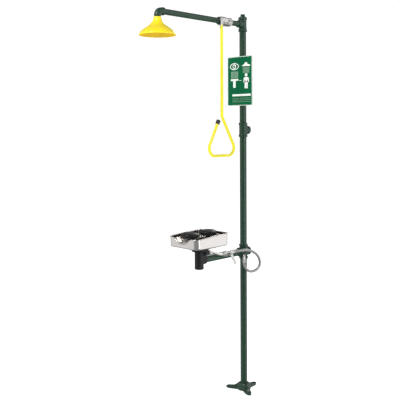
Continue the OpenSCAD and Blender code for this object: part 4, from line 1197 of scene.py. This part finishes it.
class SprayOperator(bpy.types.Operator):
    """Moulds the two dust covers and the manifold between the spray heads"""

    bl_idname = "station.spray"
    bl_label = "Spray heads"

    def execute(self, context):
        for side in ("front", "rear"):
            self.cover(side)
        lo, hi = low("spray_manifold"), high("spray_manifold")
        y0, y1 = middle("spray_head_front")[1], middle("spray_head_rear")[1]
        z = 966.0
        centre = np.array([0, BOWL[1], 0])
        pipe = mesh_from("spray_manifold_moulding",
            [lathe([(0, lo[2]), (12, lo[2]), (12, z - 14), (17, z - 12), (17, z + 8), (15, z + 10),
                (0, z + 10)], 1.5, Z, centre),
                lathe([(0, y0), (12.6, y0), (12.6, y1), (0, y1)], 1, Y, z * Z),
                *[lathe([(0, z - 13), (9, z - 13), (13, z - 8), (13, hi[2]), (0, hi[2])], 2.5, Z,
                y * Y) for y in (y0, y1)], *[turned([(15, -5), (15, 5)], Y, np.array([0, y, z]))
                for y in (BOWL[1] - 24, BOWL[1] + 24)]])
        melted(pipe, 1.0, 4)
        fitted(pipe, "black_plastic", "spray_manifold")
        return {"FINISHED"}

    def cover(self, side):
        """A dished lid with a stepped crown, a hollow inside, a thumb tab and one hinge knuckle."""
        node = "dust_cover_" + side
        hinge = joint_at(side + "_cover_turn")
        centre = hinge * Y
        r = high(node)[0]
        top, skirt = high(node)[2], low(node)[2]
        outside = [(0, top), (r - 20, top), (r - 15, top - 0.8), (r - 12.5, top - 2.6),
            (r - 8, top - 3.4), (r - 3, top - 6.2), (r - 0.6, top - 9.5), (r, top - 12),
            (r, skirt + 0.8), (r - 0.7, skirt)]
        inside = [(r - 1.9, skirt), (r - 2.5, skirt + 1), (r - 2.5, top - 10), (r - 8, top - 7),
            (r - 16, top - 4), (0, top - 2.6)]
        lid = lathe(outside + inside, 2.0, Z, centre, 96)
        piece = mesh_from(node + "_lid", [lid], 50)
        drilled(piece, [block((hinge[0] - 10, centre[1] - 42, skirt - 1),
                (hinge[0] + 23, centre[1] + 42, hinge[2])), block((hinge[0] - 10, centre[1] + 9, 0),
                (hinge[0] + 11, centre[1] + 14.6, hinge[2] + 6)),
                block((hinge[0] - 10, centre[1] - 14.6, 0),
                (hinge[0] + 11, centre[1] - 9, hinge[2] + 6))], 50)
        knuckle = mesh_from(node + "_knuckle",
            [lathe([(2.05, -8.9), (3.6, -8.9), (4, -8.4), (4, 8.4), (3.6, 8.9), (2.05, 8.9),
                (2.05, -8.9)], 0.3, Y, hinge, 40),
                block((hinge[0] + 1, centre[1] - 8.9, hinge[2] + 1.6),
                (hinge[0] + 7, centre[1] + 8.9, hinge[2] + 4)),
                lathe([(0, skirt + 1), (5, skirt + 1), (6, skirt + 2), (6, skirt + 4),
                (0, skirt + 4)], 0.6, Z, centre + (r - 1.0) * X, 40)], 40)
        fitted(piece, "black_plastic", node, side + "_cover_body")
        fitted(knuckle, "black_plastic", body=side + "_cover_body")


class WashValveOperator(bpy.types.Operator):
    """Makes the eyewash valve, its bright lever, the chrome tube and its nuts"""

    bl_idname = "station.wash_valve"
    bl_label = "Eyewash valve"

    def execute(self, context):
        stem = joint_at("eyewash_lever_turn")
        centre = np.array([HOSE[0][0], stem[1], stem[2]])
        half = centre[1] - low("eyewash_valve_tailpiece")[1]
        split = span("eyewash_valve_tailpiece")[1] - 8.0
        hex_valve("eyewash_valve", centre, 29, 14, 17, half, split, 9.5, 20,
            ("eyewash_valve_body", "eyewash_valve_tailpiece"), "chrome_plate")
        slope, reach = np.radians(57.6), 75
        end = centre[1:] + reach * np.array([np.cos(slope), -np.sin(slope)])
        strap("eyewash_lever", "eyewash_lever_body", centre[1:], end, 9, 7.5)
        steel_nut("eyewash_lever_nut", "eyewash_lever_body", 10, 5, centre, 0.6)

        face = high("receiver_body")[1]
        run = [(30, face - 12, 895), (30, face + 4, 895), (30, face + 15, 895),
            (30, face + 24, 895), (34, face + 46, 888), (41, -273, 877.5), (45, -251, 872.5),
            (45, -241, 872.5), (45, -229, 872.5), (45, -213, 872.5)]
        tube = mesh_from("supply_tube_chrome", [swept(evenly(smooth_path(run, 10), 2.0), 7.75, 48)],
            60)
        fitted(tube, "chrome_plate", "supply_tube")
        nuts = []
        for at in (np.array([30, face + 14, 895.0]), np.array([45, centre[1] - half - 0.1, 872.5])):
            nuts += [six_sided(24, 9, -Y, at, 1.2),
                lathe([(0, 8.5), (11, 8.5), (11, 11.5), (10, 13.6), (8.2, 13.8), (0, 13.8)], 0.8,
                    -Y, at, 48)]
        pair = mesh_from("tube_nuts_chrome", nuts, 35)
        fitted(pair, "chrome_plate", "tube_nuts")

        inlet = centre + half * Y
        nut_len = HOSE[0][1] - inlet[1]
        nut = mesh_from("hose_nut_chrome", [six_sided(22, nut_len - 0.3, Y, inlet + 0.05 * Y, 1.0),
                                            bar(-6, 1, 10, Y, inlet)], 35)
        fitted(nut, "chrome_plate", "hose_nut")
        self.elbow()
        return {"FINISHED"}

    def elbow(self):
        """The small elbow at the cross: out of the port, round a bend and down to the hose."""
        out = HOSE_PORT_WAY
        corner = HOSE_PORT + 36 * out
        bend = 9.0
        t = np.linspace(0, np.pi / 2, 12)[:, None]
        mid = corner - bend * out - bend * Z
        around = mid + bend * (np.sin(t) * out + np.cos(t) * Z)
        end = corner * (X + Y) + (HOSE[-1][2] + 0.1) * Z
        path = np.vstack([HOSE_PORT + 13 * out, around, end])
        side = np.cross(out, Z)
        shells = [swept(evenly(path, 1.5), 7.6, 40, side),
            six_sided(16, 5.5, out, HOSE_PORT + 24.2 * out, 0.8),
            lathe([(0, 0), (8.6, 0), (9, 0.5), (9, 5), (8.4, 5.6), (0, 5.6)], 0.5, Z, end, 48)]
        piece = mesh_from("hose_elbow_chrome", shells, 40)
        fitted(piece, "chrome_plate", "hose_elbow")


# ---------------------------------------------------------------- what stays as the frame has it


class FrameFinishOperator(bpy.types.Operator):
    """Gives every frame part that still shows its finish"""

    bl_idname = "station.frame_finish"
    bl_label = "Frame finishes"

    def execute(self, context):
        looks = {"sign_screws": "green_sign"}
        slots = {s["node"]: s["material_slot"] for s in frame["record"]["subparts"]}
        for node, obj in frame["nodes"].items():
            slot = looks.get(node, slots[node])
            obj.data.materials.clear()
            obj.data.materials.append(finish(slot))
        return {"FINISHED"}


class StationPanel(bpy.types.Panel):
    """Lists the station's groups of pieces"""

    bl_idname = "VIEW3D_PT_station"
    bl_label = "Emergency Station"
    bl_space_type = "VIEW_3D"
    bl_region_type = "UI"
    bl_category = "Station"

    def draw(self, context):
        for group in (context.scene.station_sizes, context.scene.station_colours):
            for name in group.bl_rna.properties.keys():
                if name not in ("rna_type", "name"):
                    self.layout.prop(group, name)
        for operator in OPERATORS:
            self.layout.operator(operator.bl_idname)


OPERATORS = (StageOperator, HoseOperator, FlangeOperator, FittingsOperator, ShowerHeadOperator,
    ShowerValveOperator, PullRodOperator, SignOperator, BowlOperator, ReceiverOperator,
    SprayOperator, WashValveOperator, FrameFinishOperator)
CLASSES = (StationColours, StationSizes, *OPERATORS, StationPanel)


def register():
    for each in CLASSES:
        bpy.utils.register_class(each)
    bpy.types.Scene.station_colours = bpy.props.PointerProperty(type=StationColours)
    bpy.types.Scene.station_sizes = bpy.props.PointerProperty(type=StationSizes)


def unregister():
    del bpy.types.Scene.station_sizes
    del bpy.types.Scene.station_colours
    for each in reversed(CLASSES):
        bpy.utils.unregister_class(each)


def main():
    register()
    for operator in OPERATORS:
        group, name = operator.bl_idname.split(".")
        getattr(getattr(bpy.ops, group), name)()


if __name__ == "__main__":
    main()
